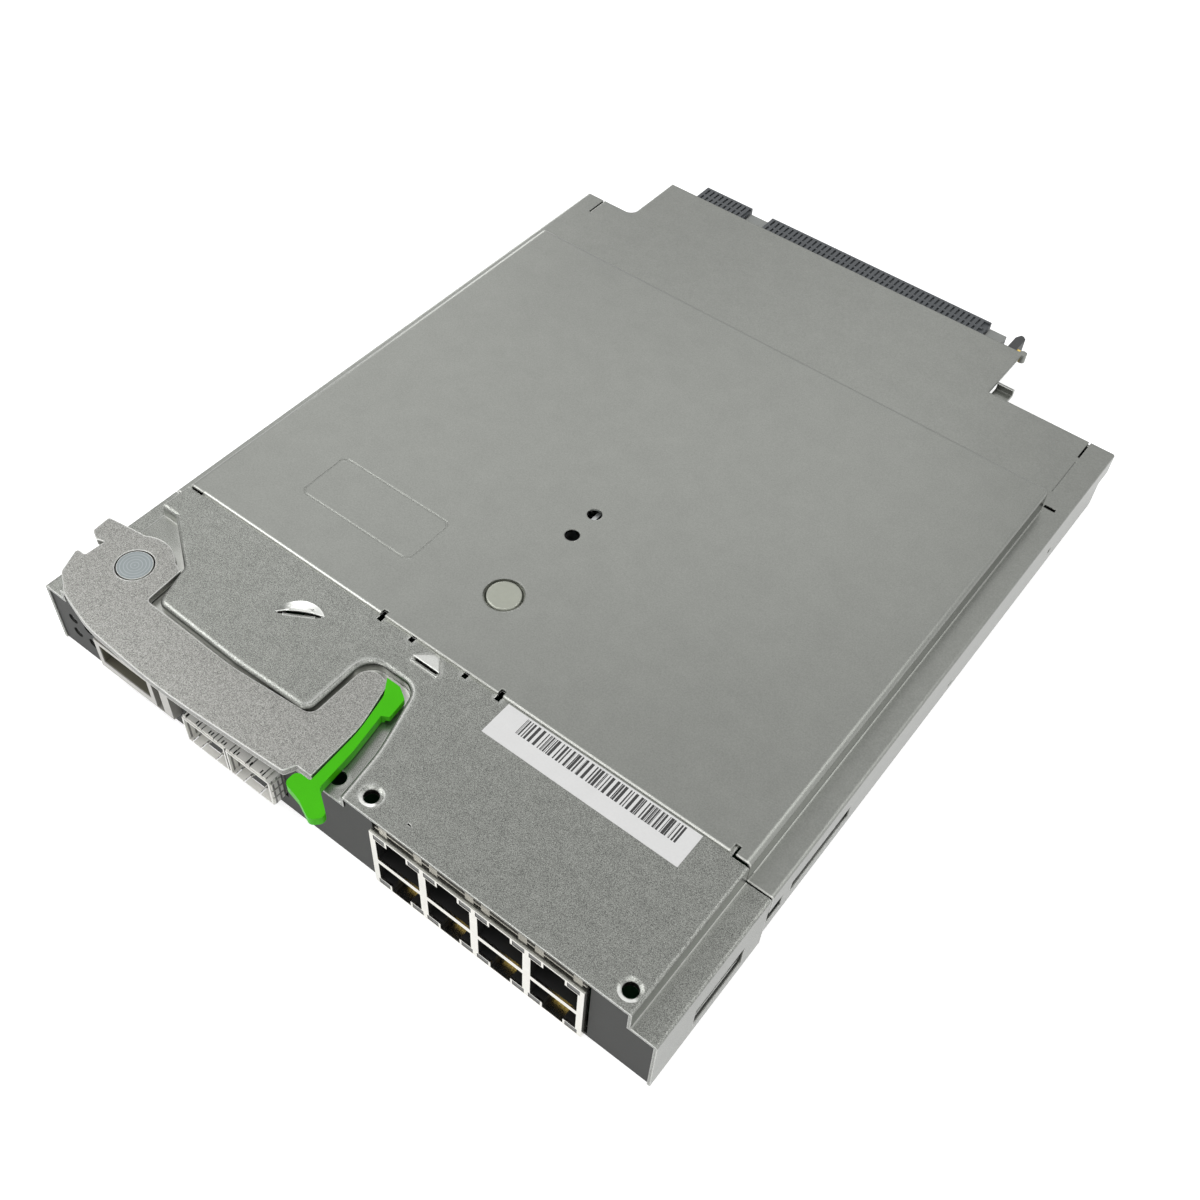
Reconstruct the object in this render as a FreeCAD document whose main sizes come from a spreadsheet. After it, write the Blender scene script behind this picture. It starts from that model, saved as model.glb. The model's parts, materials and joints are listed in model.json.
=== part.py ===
import FreeCAD, Part
import math
import os
import re
from types import SimpleNamespace

from FreeCAD import Vector

# Blade switch module: a stepped sheet-metal case with an ejector lever and a release latch.
# Pieces are drawn from the case's front left bottom corner: X right, Y back, Z up, in millimetres.
# Each finished piece is then moved so that the origin is the middle of the case's underside.

# Driving sizes in millimetres
SIZES = {
    # Case
    "width": 193.2,
    "depth": 225.0,
    "height": 28.15,
    "sheet": 0.8,
    "floor_sheet": 1.0,
    "slip": 0.1,
    "ledge_width": 7.0,
    "ledge_drop": 7.2,
    "step_round": 1.5,
    "edge_round": 0.7,
    "seam": 43.6,
    "seam_gap": 0.5,
    "roll_round": 0.7,
    "overlap": 6.0,
    "overlap_inset": 5.0,
    "plateau_back": 32.6,
    "skirt": 7.0,
    "tongue_left": 18.6,
    "tongue_width": 133.5,
    "tongue_length": 23.0,
    "tongue_inset": 9.7,
    "tongue_wall_gap": 3.0,
    "notch_round": 3.0,
    "corner_slot_length": 3.4,
    "slit_width": 0.6,
    "slit_length": 8.0,
    "ear_radius": 1.2,
    "ear_high": 3.0,
    "tab_length": 7.2,
    "tab_width": 5.4,
    "tab_drop": 2.0,
    # Openings in the sheet
    "relief_width": 1.5,
    "relief_front": 1.5,
    "relief_back": 1.6,
    "relief_inner": 8.6,
    "relief_outer": 19.0,
    "relief_corner": 4.8,
    "relief_corner_back": 2.5,
    "crease_width": 0.3,
    "crease_sink": 0.15,
    "crease_gap": 2.3,
    "side_slot_low": 3.6,
    "side_slot_high": 11.4,
    "front_slot": 15.5,
    "front_slot_length": 19.1,
    "middle_slot_gap": 1.0,
    "middle_slot_length": 7.8,
    "rear_slot_gap": 4.0,
    "rear_slot_length": 26.6,
    "low_slot": 134.6,
    "low_slot_length": 2.8,
    "low_slot_base": 2.0,
    "low_slot_high": 1.3,
    "catch_slot": 192.2,
    "catch_slot_length": 2.3,
    "catch_slot_base": 5.0,
    "catch_slot_high": 2.0,
    "spring_thick": 0.5,
    "spring_margin": 1.2,
    "vent_radius": 2.05,
    "vent_x": 96.0,
    "vent_y": 94.4,
    "vent_pitch": 9.6,
    "stud_x": 95.4,
    "stud_y": 67.6,
    "stud_radius": 5.0,
    "stud_gap": 0.35,
    "stud_flange": 1.6,
    "stud_bevel": 0.6,
    "emboss_left": 31.0,
    "emboss_front": 60.4,
    "emboss_length": 38.4,
    "emboss_depth": 16.7,
    "emboss_corner": 1.4,
    "emboss_line": 0.4,
    "emboss_sink": 0.12,
    "screw_radius": 1.9,
    "collar_wall": 0.5,
    "collar_length": 1.6,
    "screw_setback": 4.5,
    "screw_flare": 1.0,
    "screw_gap": 5.5,
    "screw_right_margin": 10.6,
    "louvre_length": 12.6,
    "louvre_bulge": 4.2,
    "louvre_rise": 1.5,
    "louvre_mouth": 7.0,
    "louvre_mouth_high": 0.7,
    "louvre_mouth_deep": 1.5,
    "louvre_angle": 31.0,
    "louvre_x": 60.2,
    "louvre_y": 31.1,
    "lance_x": 90.8,
    "lance_length": 8.4,
    "lance_reach": 4.4,
    "lance_setback": 4.6,
    "lance_rise": 1.1,
    "lance_tip": 0.8,
    "pierce": 0.5,
    "lip_width": 0.6,
    "lip_rise": 0.35,
    "lip_inset": 1.4,
    "slot_mark_x": 11.1,
    "slot_mark_length": 1.1,
    "slot_mark_width": 0.4,
    # Front panel
    "panel_thick": 1.2,
    "panel_setback": 0.4,
    "opening_gap": 0.5,
    # Ejector lever and latch
    "recess_depth": 3.35,
    "recess_gap": 1.1,
    "recess_reach": 17.5,
    "recess_slope": 14.6,
    "recess_lean": 7.4,
    "recess_bow": 1.9,
    "recess_round": 5.0,
    "recess_bend": 40.0,
    "recess_tuck": 2.6,
    "shoulder_round": 1.3,
    "corner_round": 2.7,
    "side_gap": 2.4,
    "rim_round": 1.2,
    "pivot_x": 16.5,
    "pivot_y": 16.4,
    "hub_radius": 10.0,
    "hub_side": 10.6,
    "hub_corner": 6.1,
    "tooth_reach": 17.6,
    "tooth_root": 12.3,
    "tooth_back": 7.0,
    "tooth_notch": 5.6,
    "tooth_lean": 0.4,
    "tooth_floor": 1.0,
    "gullet": 1.9,
    "nose_round": 0.7,
    "nick_round": 0.5,
    "toe_reach": 3.1,
    "toe_front": 13.0,
    "toe_round": 2.0,
    "lever_lift": 0.3,
    "lever_thick": 2.0,
    "bar_back": 10.4,
    "bar_overhang": 5.5,
    "bar_shoulder": 6.1,
    "bar_turn": 6.0,
    "bar_rise": 4.7,
    "bar_bend": 40.0,
    "crest_x": 33.5,
    "crest_rise": 1.5,
    "crest_bend": 200.0,
    "bar_sag": 0.5,
    "sag_gap": 25.5,
    "sag_bend": 120.0,
    "bar_wave": 0.3,
    "arm_gap": 18.8,
    "arm_width": 11.8,
    "arm_back": 30.7,
    "arm_bow": 0.7,
    "arm_bend": 25.0,
    "arm_lean": 4.3,
    "arm_round": 3.8,
    "arm_root": 1.6,
    "tip_width": 4.5,
    "tip_slant": 1.5,
    "tip_drop": 2.4,
    "tip_round": 1.2,
    "rivet_radius": 4.0,
    "rivet_upset": 1.2,
    "head_radius": 5.0,
    "head_thick": 1.0,
    "head_bevel": 0.4,
    "running_gap": 0.05,
    "catch_radius": 2.0,
    "latch_thick": 2.6,
    "latch_lift": 0.4,
    "latch_gap": 1.1,
    "latch_strip": 2.9,
    "latch_bow": 0.9,
    "latch_bend": 35.0,
    "latch_inset": 0.1,
    "grip_set": 1.2,
    "grip_left": 4.2,
    "grip_prong": 4.0,
    "grip_slope": 1.1,
    "grip_right": 9.7,
    "grip_reach": 8.6,
    "grip_nose": 2.9,
    "grip_round": 1.6,
    "neck_cut": 2.8,
    "head_front": 4.6,
    "head_step": 1.0,
    "head_side": 1.7,
    "head_corner": 2.4,
    "head_back": 4.4,
    "head_slant": 2.2,
    "head_left": 6.3,
    "head_inner": 3.3,
    "head_bend": 5.0,
    "latch_pin_back": 26.4,
    "latch_pin_radius": 1.5,
    "latch_pin_rise": 1.7,
    "lug_radius": 2.1,
    "lug_thick": 0.7,
    # Board
    "board_rise": 3.0,
    "board_thick": 1.5,
    "board_margin": 1.3,
    "support_radius": 3.0,
    "support_neck": 1.6,
    "support_gap": 0.3,
    "support_cap": 1.8,
    "support_inset": 5.6,
    "support_front": 18.0,
    # Jack block
    "jack_margin": 18.1,
    "jack_pitch": 15.0,
    "jack_end_wall": 1.7,
    "jack_mouth": 12.8,
    "jack_bar": 1.7,
    "jack_bar_drop": 0.6,
    "jack_proud": 1.2,
    "jack_depth": 25.2,
    "jack_lift": 0.2,
    "jack_head_room": 2.35,
    "jack_rim": 2.7,
    "jack_notch": 5.8,
    "jack_spring_width": 2.4,
    "jack_spring_high": 1.4,
    "jack_spring_depth": 2.6,
    "jack_spring_setback": 1.5,
    "jack_socket_depth": 14.0,
    "shield_wall": 0.5,
    "light_width": 3.2,
    "light_outset": 0.4,
    "light_gap": 0.35,
    "light_length": 4.0,
    "contact_pitch": 1.02,
    "contact_width": 0.5,
    "contact_thick": 0.25,
    "contact_gap": 0.4,
    "contact_setback": 5.2,
    "wire_angle": 35.0,
    # Module cages
    "cage_left": 53.2,
    "cage_width": 14.7,
    "cage_high": 9.7,
    "cage_pitch": 15.2,
    "cage_proud": 3.6,
    "cage_depth": 46.0,
    "cage_wall": 0.5,
    "finger_thick": 0.4,
    "finger_length": 3.0,
    "finger_gap": 0.35,
    "finger_wide": 3.8,
    "finger_narrow": 1.0,
    "side_finger_width": 2.3,
    "side_finger_pitch": 3.0,
    "tab_slot_width": 0.5,
    "tab_slot_length": 6.0,
    "tab_slot_spacing": 5.4,
    "tab_slot_side": 5.8,
    "tab_hole_setback": 1.8,
    "tab_hole_width": 4.4,
    "tab_hole_length": 3.2,
    "host_width": 11.0,
    "host_high": 5.4,
    "host_depth": 8.0,
    # Stacking port
    "stack_left": 19.2,
    "stack_width": 21.0,
    "stack_high": 11.0,
    "stack_proud": 2.0,
    "stack_depth": 20.0,
    "stack_side": 1.7,
    "stack_lip": 2.6,
    "stack_top": 1.5,
    "stack_pocket": 11.0,
    "blade_width": 13.0,
    "blade_thick": 1.4,
    "blade_setback": 4.0,
    "blade_pitch": 1.5,
    "clip_gap": 2.8,
    "clip_width": 3.2,
    "clip_depth": 3.0,
    "clip_foot": 0.5,
    "clip_drop": 1.0,
    # Status lights
    "lamp_left": 7.4,
    "lamp_pitch": 5.9,
    "lamp_low": 7.0,
    "lamp_rise": 5.6,
    "lamp_radius": 1.2,
    "lamp_gap": 0.4,
    "lamp_setback": 0.4,
    "lamp_length": 3.6,
    "holder_rim": 2.0,
    "holder_depth": 5.0,
    # Rear connectors
    "plug_proud": 8.4,
    "plug_depth": 20.5,
    "plug_gap": 0.5,
    "small_plug_offset": 9.2,
    "small_plug_width": 18.5,
    "large_plug_offset": 35.8,
    "rib_pitch": 1.85,
    "rib_width": 1.15,
    "rib_high": 0.6,
    "rib_lip": 0.9,
    "spacer_gap": 0.4,
    "spacer_drop": 1.6,
    "spacer_proud": 7.4,
    "right_spacer_width": 5.8,
    "key_width": 2.9,
    "key_high": 5.0,
    "key_root": 8.0,
    "key_proud": 8.4,
    "key_tip": 1.0,
    "key_gap": 3.0,
    "ground_gap": 1.6,
    "ground_width": 1.1,
    "ground_proud": 2.4,
    # Parts on the board
    "chip_x": 96.0,
    "chip_y": 128.0,
    "chip_side": 35.0,
    "chip_thick": 2.4,
    "sink_length": 66.0,
    "sink_width": 58.0,
    "sink_base": 3.0,
    "sink_head_room": 1.2,
    "fin_pitch": 6.2,
    "fin_thick": 1.2,
    "small_chip_side": 17.0,
    "small_chip_thick": 1.8,
    "memory_length": 12.0,
    "memory_width": 9.0,
    "memory_thick": 1.2,
    "memory_pitch": 14.0,
    "coil_side": 11.0,
    "coil_high": 7.0,
    "coil_pitch": 15.0,
    # Label
    "label_margin": 19.5,
    "label_length": 56.3,
    "label_width": 9.9,
    "label_thick": 0.1,
    "label_setback": 0.4,
}

# Counts of repeated features, and how far a cut runs past the sheet
JACK_COLUMNS = 4
CONTACTS_PER_JACK = 8
CAGE_FINGERS = 6
SIDE_FINGERS = 3
BLADE_CONTACTS = 8
SINK_FINS = 11
REACH = 5.0

# Levels and lines that several pieces share, as expressions of the sizes
LEDGE = "(height - ledge_drop)"
FRONT_TOP = "(height - sheet)"
RECESS_FLOOR = "(height - sheet - recess_depth)"
LEVER_LOW = f"({RECESS_FLOOR} + lever_lift)"
LEVER_TOP = f"({LEVER_LOW} + lever_thick)"
LATCH_LOW = f"({RECESS_FLOOR} + latch_lift)"
LATCH_TOP = f"({LATCH_LOW} + latch_thick)"
LUG_TOP = f"({LEVER_LOW} + lug_thick)"
BOARD_LOW = "(floor_sheet + board_rise)"
BOARD_TOP = f"({BOARD_LOW} + board_thick)"
TRAY_LEFT = "(sheet + slip)"
TRAY_RIGHT = "(width - sheet - slip)"
TRAY_FRONT = "(panel_setback + panel_thick + slip)"
TRAY_TOP = f"({LEDGE} - sheet - slip)"
STEP_RIGHT = "(width - ledge_width)"
LIP_LEFT = "(ledge_width + overlap_inset)"
CORNER_RELIEF = f"({STEP_RIGHT} - relief_corner)"
LANCE_FRONT = "(seam - lance_setback)"
PLATEAU_END = "(depth - plateau_back)"
TONGUE_RIGHT = "(tongue_left + tongue_width)"
TONGUE_END = "(depth + tongue_length)"
INSET_RIGHT = f"({TONGUE_RIGHT} - tongue_inset)"
JACK_RIGHT = "(width - jack_margin)"
JACK_LEFT = f"({JACK_RIGHT} - {JACK_COLUMNS - 1} * jack_pitch - jack_mouth - 2 * jack_end_wall)"
JACK_LOW = "(floor_sheet + jack_lift)"
JACK_TOP = f"({FRONT_TOP} - sheet - jack_head_room)"
ARM_RIGHT = f"({JACK_LEFT} - arm_gap)"
RECESS_RIGHT = f"({ARM_RIGHT} + latch_gap + 2 * latch_strip + 2 * recess_gap)"
LATCH_PIN_X = f"({ARM_RIGHT} - latch_inset)"
CAGE_RIGHT = "(cage_left + cage_pitch + cage_width)"
PLUG_TOP = f"({LEDGE} - sheet - plug_gap)"
PLUG_END = f"({TONGUE_END} + plug_proud)"
PLUG_START = f"({PLUG_END} - plug_depth)"
SMALL_PLUG_RIGHT = "(tongue_left + small_plug_offset + small_plug_width)"
LARGE_PLUG_LEFT = "(tongue_left + large_plug_offset)"
KEY_RIGHT = f"({TONGUE_RIGHT} - ground_gap - ground_width)"
KEY_LEFT = f"({KEY_RIGHT} - key_width)"
RIGHT_SPACER_LEFT = f"({KEY_LEFT} - key_gap - right_spacer_width)"
LARGE_PLUG_RIGHT = f"({RIGHT_SPACER_LEFT} - spacer_gap)"
SINK_TOP = "(height - sheet - sink_head_room)"

doc = FreeCAD.newDocument("BladeSwitchModule")
sheet = doc.addObject("Spreadsheet::Sheet", "Sizes")
for row, (alias, number) in enumerate(SIZES.items(), start=1):
    sheet.set(f"A{row}", alias)
    sheet.set(f"B{row}", str(number))
    sheet.setAlias(f"B{row}", alias)
doc.recompute()
size = SimpleNamespace(**{alias: float(sheet.get(alias)) for alias in SIZES})
pieces = []


def bind(feature, prop, text):
    """Bind a property to an expression of the sheet's aliases."""
    feature.setExpression(prop, re.sub(r"[a-z][a-z_]*", r"Sizes.\g<0>", str(text)))


def place(feature, x, y, z):
    for axis, text in zip("xyz", (x, y, z)):
        bind(feature, "Placement.Base." + axis, text)


def box(name, across, along, up):
    """A block between two expressions on each axis."""
    block = doc.addObject("Part::Box", name)
    spans = zip(("Length", "Width", "Height"), (across, along, up))
    for prop, (low, high) in spans:
        bind(block, prop, f"({high}) - ({low})")
    place(block, across[0], along[0], up[0])
    return block


def post(name, radius, x, y, up):
    """An upright round post between two levels."""
    rod = doc.addObject("Part::Cylinder", name)
    bind(rod, "Radius", radius)
    bind(rod, "Height", f"({up[1]}) - ({up[0]})")
    place(rod, x, y, up[0])
    return rod


def taper(name, low_radius, top_radius, x, y, up):
    """An upright round post that changes its radius between two levels."""
    cone = doc.addObject("Part::Cone", name)
    bind(cone, "Radius1", low_radius)
    bind(cone, "Radius2", top_radius)
    bind(cone, "Height", f"({up[1]}) - ({up[0]})")
    place(cone, x, y, up[0])
    return cone


def hexagon(name, radius, x, y, up):
    """An upright six-sided post between two levels."""
    prism = doc.addObject("Part::Prism", name)
    prism.Polygon = 6
    bind(prism, "Circumradius", radius)
    bind(prism, "Height", f"({up[1]}) - ({up[0]})")
    place(prism, x, y, up[0])
    return prism


def rod_back(name, radius, x, z, along):
    """A round rod that runs from front to back."""
    rod = doc.addObject("Part::Cylinder", name)
    bind(rod, "Radius", radius)
    bind(rod, "Height", f"({along[1]}) - ({along[0]})")
    rod.Placement.Rotation = FreeCAD.Rotation(Vector(1, 0, 0), -90)
    place(rod, x, along[0], z)
    return rod


def rod_right(name, radius, across, y, z):
    """A round rod that runs from left to right."""
    rod = doc.addObject("Part::Cylinder", name)
    bind(rod, "Radius", radius)
    bind(rod, "Height", f"({across[1]}) - ({across[0]})")
    rod.Placement.Rotation = FreeCAD.Rotation(Vector(0, 1, 0), 90)
    place(rod, across[0], y, z)
    return rod


def joined(name, *solids):
    if len(solids) == 1:
        return solids[0]
    union = doc.addObject("Part::MultiFuse", name)
    union.Shapes = list(solids)
    return union


def cut(name, base, *tools):
    result = doc.addObject("Part::Cut", name)
    result.Base = base
    result.Tool = joined(name + "_tools", *tools)
    return result


def rounded(name, base, radius, chosen):
    """Round the edges of a solid whose middle points pass the test."""
    doc.recompute()
    edges = []
    for number, edge in enumerate(base.Shape.Edges, start=1):
        middle = edge.valueAt((edge.FirstParameter + edge.LastParameter) / 2)
        if chosen(middle):
            edges.append((number, radius, radius))
    fillet = doc.addObject("Part::Fillet", name)
    fillet.Base = base
    fillet.Edges = edges
    return fillet


def corner_arc(before, corner, after, radius):
    """The two tangent points and the middle of the arc that rounds a corner."""
    back = (before - corner).normalize()
    ahead = (after - corner).normalize()
    half = back.getAngle(ahead) / 2
    reach = radius / math.tan(half)
    middle = corner + (back + ahead).normalize() * (radius / math.sin(half) - radius)
    return corner + back * reach, middle, corner + ahead * reach


def outline(name, corners):
    """A closed sketch through corners (x, y, radius), rounded where the radius isn't zero."""
    points = [Vector(x, y, 0) for x, y, _ in corners]
    stops = []
    for index, (_, _, radius) in enumerate(corners):
        corner = points[index]
        if radius:
            following = points[(index + 1) % len(points)]
            stops.append(corner_arc(points[index - 1], corner, following, radius))
        else:
            stops.append((corner, None, corner))
    sketch = doc.addObject("Sketcher::SketchObject", name)
    for index, (start, middle, end) in enumerate(stops):
        if middle:
            sketch.addGeometry(Part.Arc(start, middle, end), False)
        following = stops[(index + 1) % len(stops)][0]
        sketch.addGeometry(Part.LineSegment(end, following), False)
    return sketch


def raised(name, flat, length):
    """A solid made by moving a flat outline along its normal."""
    solid = doc.addObject("Part::Extrusion", name)
    solid.Base = flat
    solid.DirMode = "Normal"
    solid.Solid = True
    bind(solid, "LengthFwd", length)
    return solid


def plate(name, corners, up):
    """An outline in the XY plane raised between two levels."""
    flat = outline(name + "_outline", corners)
    bind(flat, "Placement.Base.z", up[0])
    return raised(name, flat, f"({up[1]}) - ({up[0]})")


def piece(label, *solids):
    """A finished piece, moved to the middle of the case's underside."""
    part = doc.addObject("Part::Compound", label)
    part.Label = label
    part.Links = list(solids)
    place(part, "-width / 2", "-depth / 2", "0")
    pieces.append(part)


def near(first, second):
    return abs(first - second) < 0.01


def arm_right():
    """Right edge of the lever's arm, worked out from the sizes."""
    jack_span = (JACK_COLUMNS - 1) * size.jack_pitch + size.jack_mouth + 2 * size.jack_end_wall
    return size.width - size.jack_margin - jack_span - size.arm_gap


def side_slots():
    """Spans of the three long slots in the right side wall, from front to back."""
    middle = "(seam + middle_slot_gap)"
    rear = f"({middle} + middle_slot_length + rear_slot_gap)"
    return (
        ("front_slot", "front_slot + front_slot_length"),
        (middle, f"{middle} + middle_slot_length"),
        (rear, f"{rear} + rear_slot_length"),
    )


def base_tray():
    floor = ("0", "floor_sheet")
    wall = ("0", TRAY_TOP)
    tab_across = (TONGUE_RIGHT, f"{TONGUE_RIGHT} + tab_width")
    tab_end = ("depth + tab_length - sheet", "depth + tab_length")
    tab_top = f"({TRAY_TOP} - tab_drop)"
    tab_low = f"({tab_top} - sheet)"
    body = joined(
        "tray_body",
        box("tray_floor", (TRAY_LEFT, TRAY_RIGHT), (TRAY_FRONT, "depth"), floor),
        box("tray_tongue", ("tongue_left", INSET_RIGHT), ("depth - sheet", TONGUE_END), floor),
        box("tray_left_wall", (TRAY_LEFT, f"{TRAY_LEFT} + sheet"), (TRAY_FRONT, "depth"), wall),
        box("tray_right_wall", (f"{TRAY_RIGHT} - sheet", TRAY_RIGHT), (TRAY_FRONT, "depth"), wall),
        box("tray_rear_left", (TRAY_LEFT, "tongue_left + sheet"), ("depth - sheet", "depth"), wall),
        box("tray_rear_right", (f"{INSET_RIGHT} - sheet", TRAY_RIGHT), ("depth - sheet", "depth"), wall),
        box("tongue_left_wall", ("tongue_left", "tongue_left + sheet"), ("depth - sheet", TONGUE_END), wall),
        box(
            "tongue_right_wall",
            (f"{INSET_RIGHT} - sheet", INSET_RIGHT),
            ("depth - sheet", f"{PLUG_START} - tongue_wall_gap"),
            wall,
        ),
        box("notch_tab", tab_across, ("depth - sheet", "depth + tab_length"), (tab_low, tab_top)),
        box("notch_tab_lip", tab_across, tab_end, (tab_low, TRAY_TOP)),
    )
    through = (f"{TRAY_RIGHT} - 2 * sheet", "width")
    slots = [
        box(f"tray_slot_{number}", through, span, ("side_slot_low", "side_slot_high"))
        for number, span in enumerate(side_slots())
    ]
    for name in ("low_slot", "catch_slot"):
        along = (name, f"{name} + {name}_length")
        slots.append(box(f"tray_{name}", through, along, (f"{name}_base", f"{name}_base + {name}_high")))
    piece("base_tray", cut("tray", body, *slots))


def stepped_solid(name, along, inset, low, top, plateau_end):
    """The case's stepped section as a solid, inset from the outer faces."""
    return joined(
        name,
        box(name + "_body", (inset, f"width - {inset}"), along, (low, f"{LEDGE} - {inset}")),
        box(
            name + "_plateau",
            (f"ledge_width + {inset}", f"{STEP_RIGHT} - {inset}"),
            (along[0], plateau_end),
            (f"{LEDGE} - {inset} - sheet", f"{top} - {inset}"),
        ),
    )


def rear_cover():
    along = ("seam", "depth")
    flat = (f"{LEDGE} - sheet", LEDGE)
    tongue = joined(
        "cover_tongue",
        box("tongue_sheet", ("tongue_left", TONGUE_RIGHT), ("depth - sheet", TONGUE_END), flat),
        post("tongue_ear", "ear_radius", TONGUE_RIGHT, TONGUE_END, (f"{LEDGE} - ear_high", LEDGE)),
        notch_corner(flat),
    )
    body = stepped_solid("cover_outer", along, "0", f"{LEDGE} - skirt", "height", PLATEAU_END)
    step_right = size.width - size.ledge_width
    plateau_end = size.depth - size.plateau_back
    ledge = size.height - size.ledge_drop

    def step_edge(middle):
        on_top = near(middle.z, size.height) and not near(middle.y, size.seam)
        corner = near(middle.y, plateau_end) and ledge < middle.z < size.height
        return on_top or corner and (near(middle.x, size.ledge_width) or near(middle.x, step_right))

    def ledge_edge(middle):
        return near(middle.z, ledge) and (near(middle.x, 0) or near(middle.x, size.width))

    outer = rounded("cover_step", body, size.step_round, step_edge)
    outer = rounded("cover_edges", outer, size.edge_round, ledge_edge)
    inner = stepped_solid(
        "cover_inner",
        (f"seam - {REACH}", f"depth + {REACH}"),
        "sheet",
        f"{LEDGE} - skirt - {REACH}",
        "height",
        f"{PLATEAU_END} - sheet",
    )
    through = (f"{LEDGE} - {REACH}", f"height + {REACH}")
    holes = [
        post("stud_hole", "stud_radius + stud_gap", "stud_x", "stud_y", through),
        post("vent_front", "vent_radius", "vent_x", "vent_y", through),
        post("vent_rear", "vent_radius", "vent_x", "vent_y + vent_pitch", through),
        box(
            "corner_slot",
            (STEP_RIGHT, f"{STEP_RIGHT} + corner_slot_length"),
            (PLATEAU_END, f"{PLATEAU_END} + 2 * slit_width"),
            through,
        ),
        box(
            "right_slit",
            (f"{STEP_RIGHT} - 2 * slit_width", f"{STEP_RIGHT} - slit_width"),
            ("depth - slit_length", f"depth + {REACH}"),
            through,
        ),
        box(
            "left_slit",
            ("ledge_width - slit_width", "ledge_width"),
            ("depth - slit_length", f"depth + {REACH}"),
            through,
        ),
    ]
    holes += seam_reliefs("cover", f"seam - {REACH}", through)
    corner = (f"{CORNER_RELIEF} - relief_width / 2", f"{CORNER_RELIEF} + relief_width / 2")
    corner_back = (f"seam - {REACH}", "seam + relief_corner_back")
    holes.append(box("corner_relief", corner, corner_back, through))
    holes.append(edge_roll("left_roll", (LIP_LEFT, "stud_x - relief_outer")))
    holes.append(edge_roll("right_roll", ("stud_x + relief_outer", CORNER_RELIEF)))
    shell = cut("cover_shell", joined("cover_with_tongue", outer, tongue), inner, *holes)
    piece("rear_cover", cut("cover", shell, emboss_groove(), fold_crease()))
    flange_up = ("height - 2 * sheet", "height - sheet")
    stud = joined(
        "stud",
        taper(
            "stud_head",
            "stud_radius",
            "stud_radius - stud_bevel",
            "stud_x",
            "stud_y",
            ("height - sheet", "height"),
        ),
        hexagon("stud_base", "stud_radius + stud_flange", "stud_x", "stud_y", flange_up),
    )
    piece("cover_stud", stud)


def notch_corner(up):
    """The rounded inner corner of the left rear notch."""
    across = ("tongue_left - notch_round", "tongue_left")
    corner = box("notch_fill", across, ("depth - sheet", "depth + notch_round"), up)
    curve = post("notch_curve", "notch_round", across[0], "depth + notch_round", up)
    return cut("notch_corner", corner, curve)


def seam_reliefs(name, start, up):
    """Small slots across the seam: the outer two cut both covers and the inner two stop at the seam."""
    slots = []
    for side, sign in (("left", "-"), ("right", "+")):
        for reach, back in (("outer", "seam + relief_back"), ("inner", "seam")):
            x = f"(stud_x {sign} relief_{reach})"
            across = (f"{x} - relief_width / 2", f"{x} + relief_width / 2")
            slots.append(box(f"{name}_relief_{side}_{reach}", across, (start, back), up))
    return slots


def edge_roll(name, across):
    """What is cut away to roll the rear cover's front edge down."""
    corner = box(name + "_corner", across, ("seam", "seam + roll_round"), ("height - roll_round", "height"))
    bend = rod_right(name + "_bend", "roll_round", across, "seam + roll_round", "height - roll_round")
    return cut(name, corner, bend)


def emboss_corners(inset):
    """A rectangle with its corners cut off, drawn in from the embossed one by an inset."""
    left = size.emboss_left + inset
    front = size.emboss_front + inset
    right = size.emboss_left + size.emboss_length - inset
    back = size.emboss_front + size.emboss_depth - inset
    trim = size.emboss_corner
    return [
        (left + trim, front, 0),
        (right - trim, front, 0),
        (right, front + trim, 0),
        (right, back - trim, 0),
        (right - trim, back, 0),
        (left + trim, back, 0),
        (left, back - trim, 0),
        (left, front + trim, 0),
    ]


def emboss_groove():
    """The shallow line pressed round a rectangle of the rear cover."""
    up = ("height - emboss_sink", f"height + {REACH}")
    outer = plate("emboss_outer", emboss_corners(0), up)
    return cut("emboss_groove", outer, plate("emboss_inner", emboss_corners(size.emboss_line), up))


def fold_crease():
    """The shallow crease along the right rear fold, from the plateau's end to the slit."""
    right = f"({STEP_RIGHT} - slit_width)"
    return box(
        "fold_crease",
        (f"{right} - crease_width", right),
        (f"{PLATEAU_END} + ledge_width", "depth - slit_length - crease_gap"),
        (f"{LEDGE} - crease_sink", f"{LEDGE} + {REACH}"),
    )


def recess_corners(gap):
    """The lever recess, open at the front and left, with its walls moved out by a gap."""
    left = arm_right() - size.arm_width
    right = arm_right() + size.latch_gap + 2 * size.latch_strip + 2 * size.recess_gap + gap
    bar = size.bar_back + size.recess_gap + gap
    arm = left - size.recess_gap - gap
    end = size.arm_back + 2 * size.recess_gap + gap
    back = size.pivot_y + size.recess_reach + gap
    side = size.pivot_x + size.hub_side + size.side_gap + gap
    shelf = side - size.recess_tuck - gap / 2
    shoulder = size.pivot_y + size.hub_corner + size.recess_gap + gap
    outer_round = size.shoulder_round + gap
    inner_round = size.corner_round - gap
    end_round = size.recess_round + gap
    return [
        (-REACH - gap, back, 0),
        (shelf - size.recess_slope, back, outer_round),
        (shelf, shoulder, outer_round),
        (side + size.recess_gap, bar + size.bar_wave, inner_round),
        (left - size.sag_gap, bar - size.bar_sag, 0),
        (arm, bar + size.bar_wave, inner_round),
        (arm, end, end_round),
        (right - size.recess_lean, end, end_round),
        (right - size.recess_bow, size.pivot_y - size.recess_bow, size.recess_bend),
        (right, -size.seam_gap, 0),
        (right, -REACH - gap, 0),
        (-REACH - gap, -REACH - gap, 0),
    ]


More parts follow.
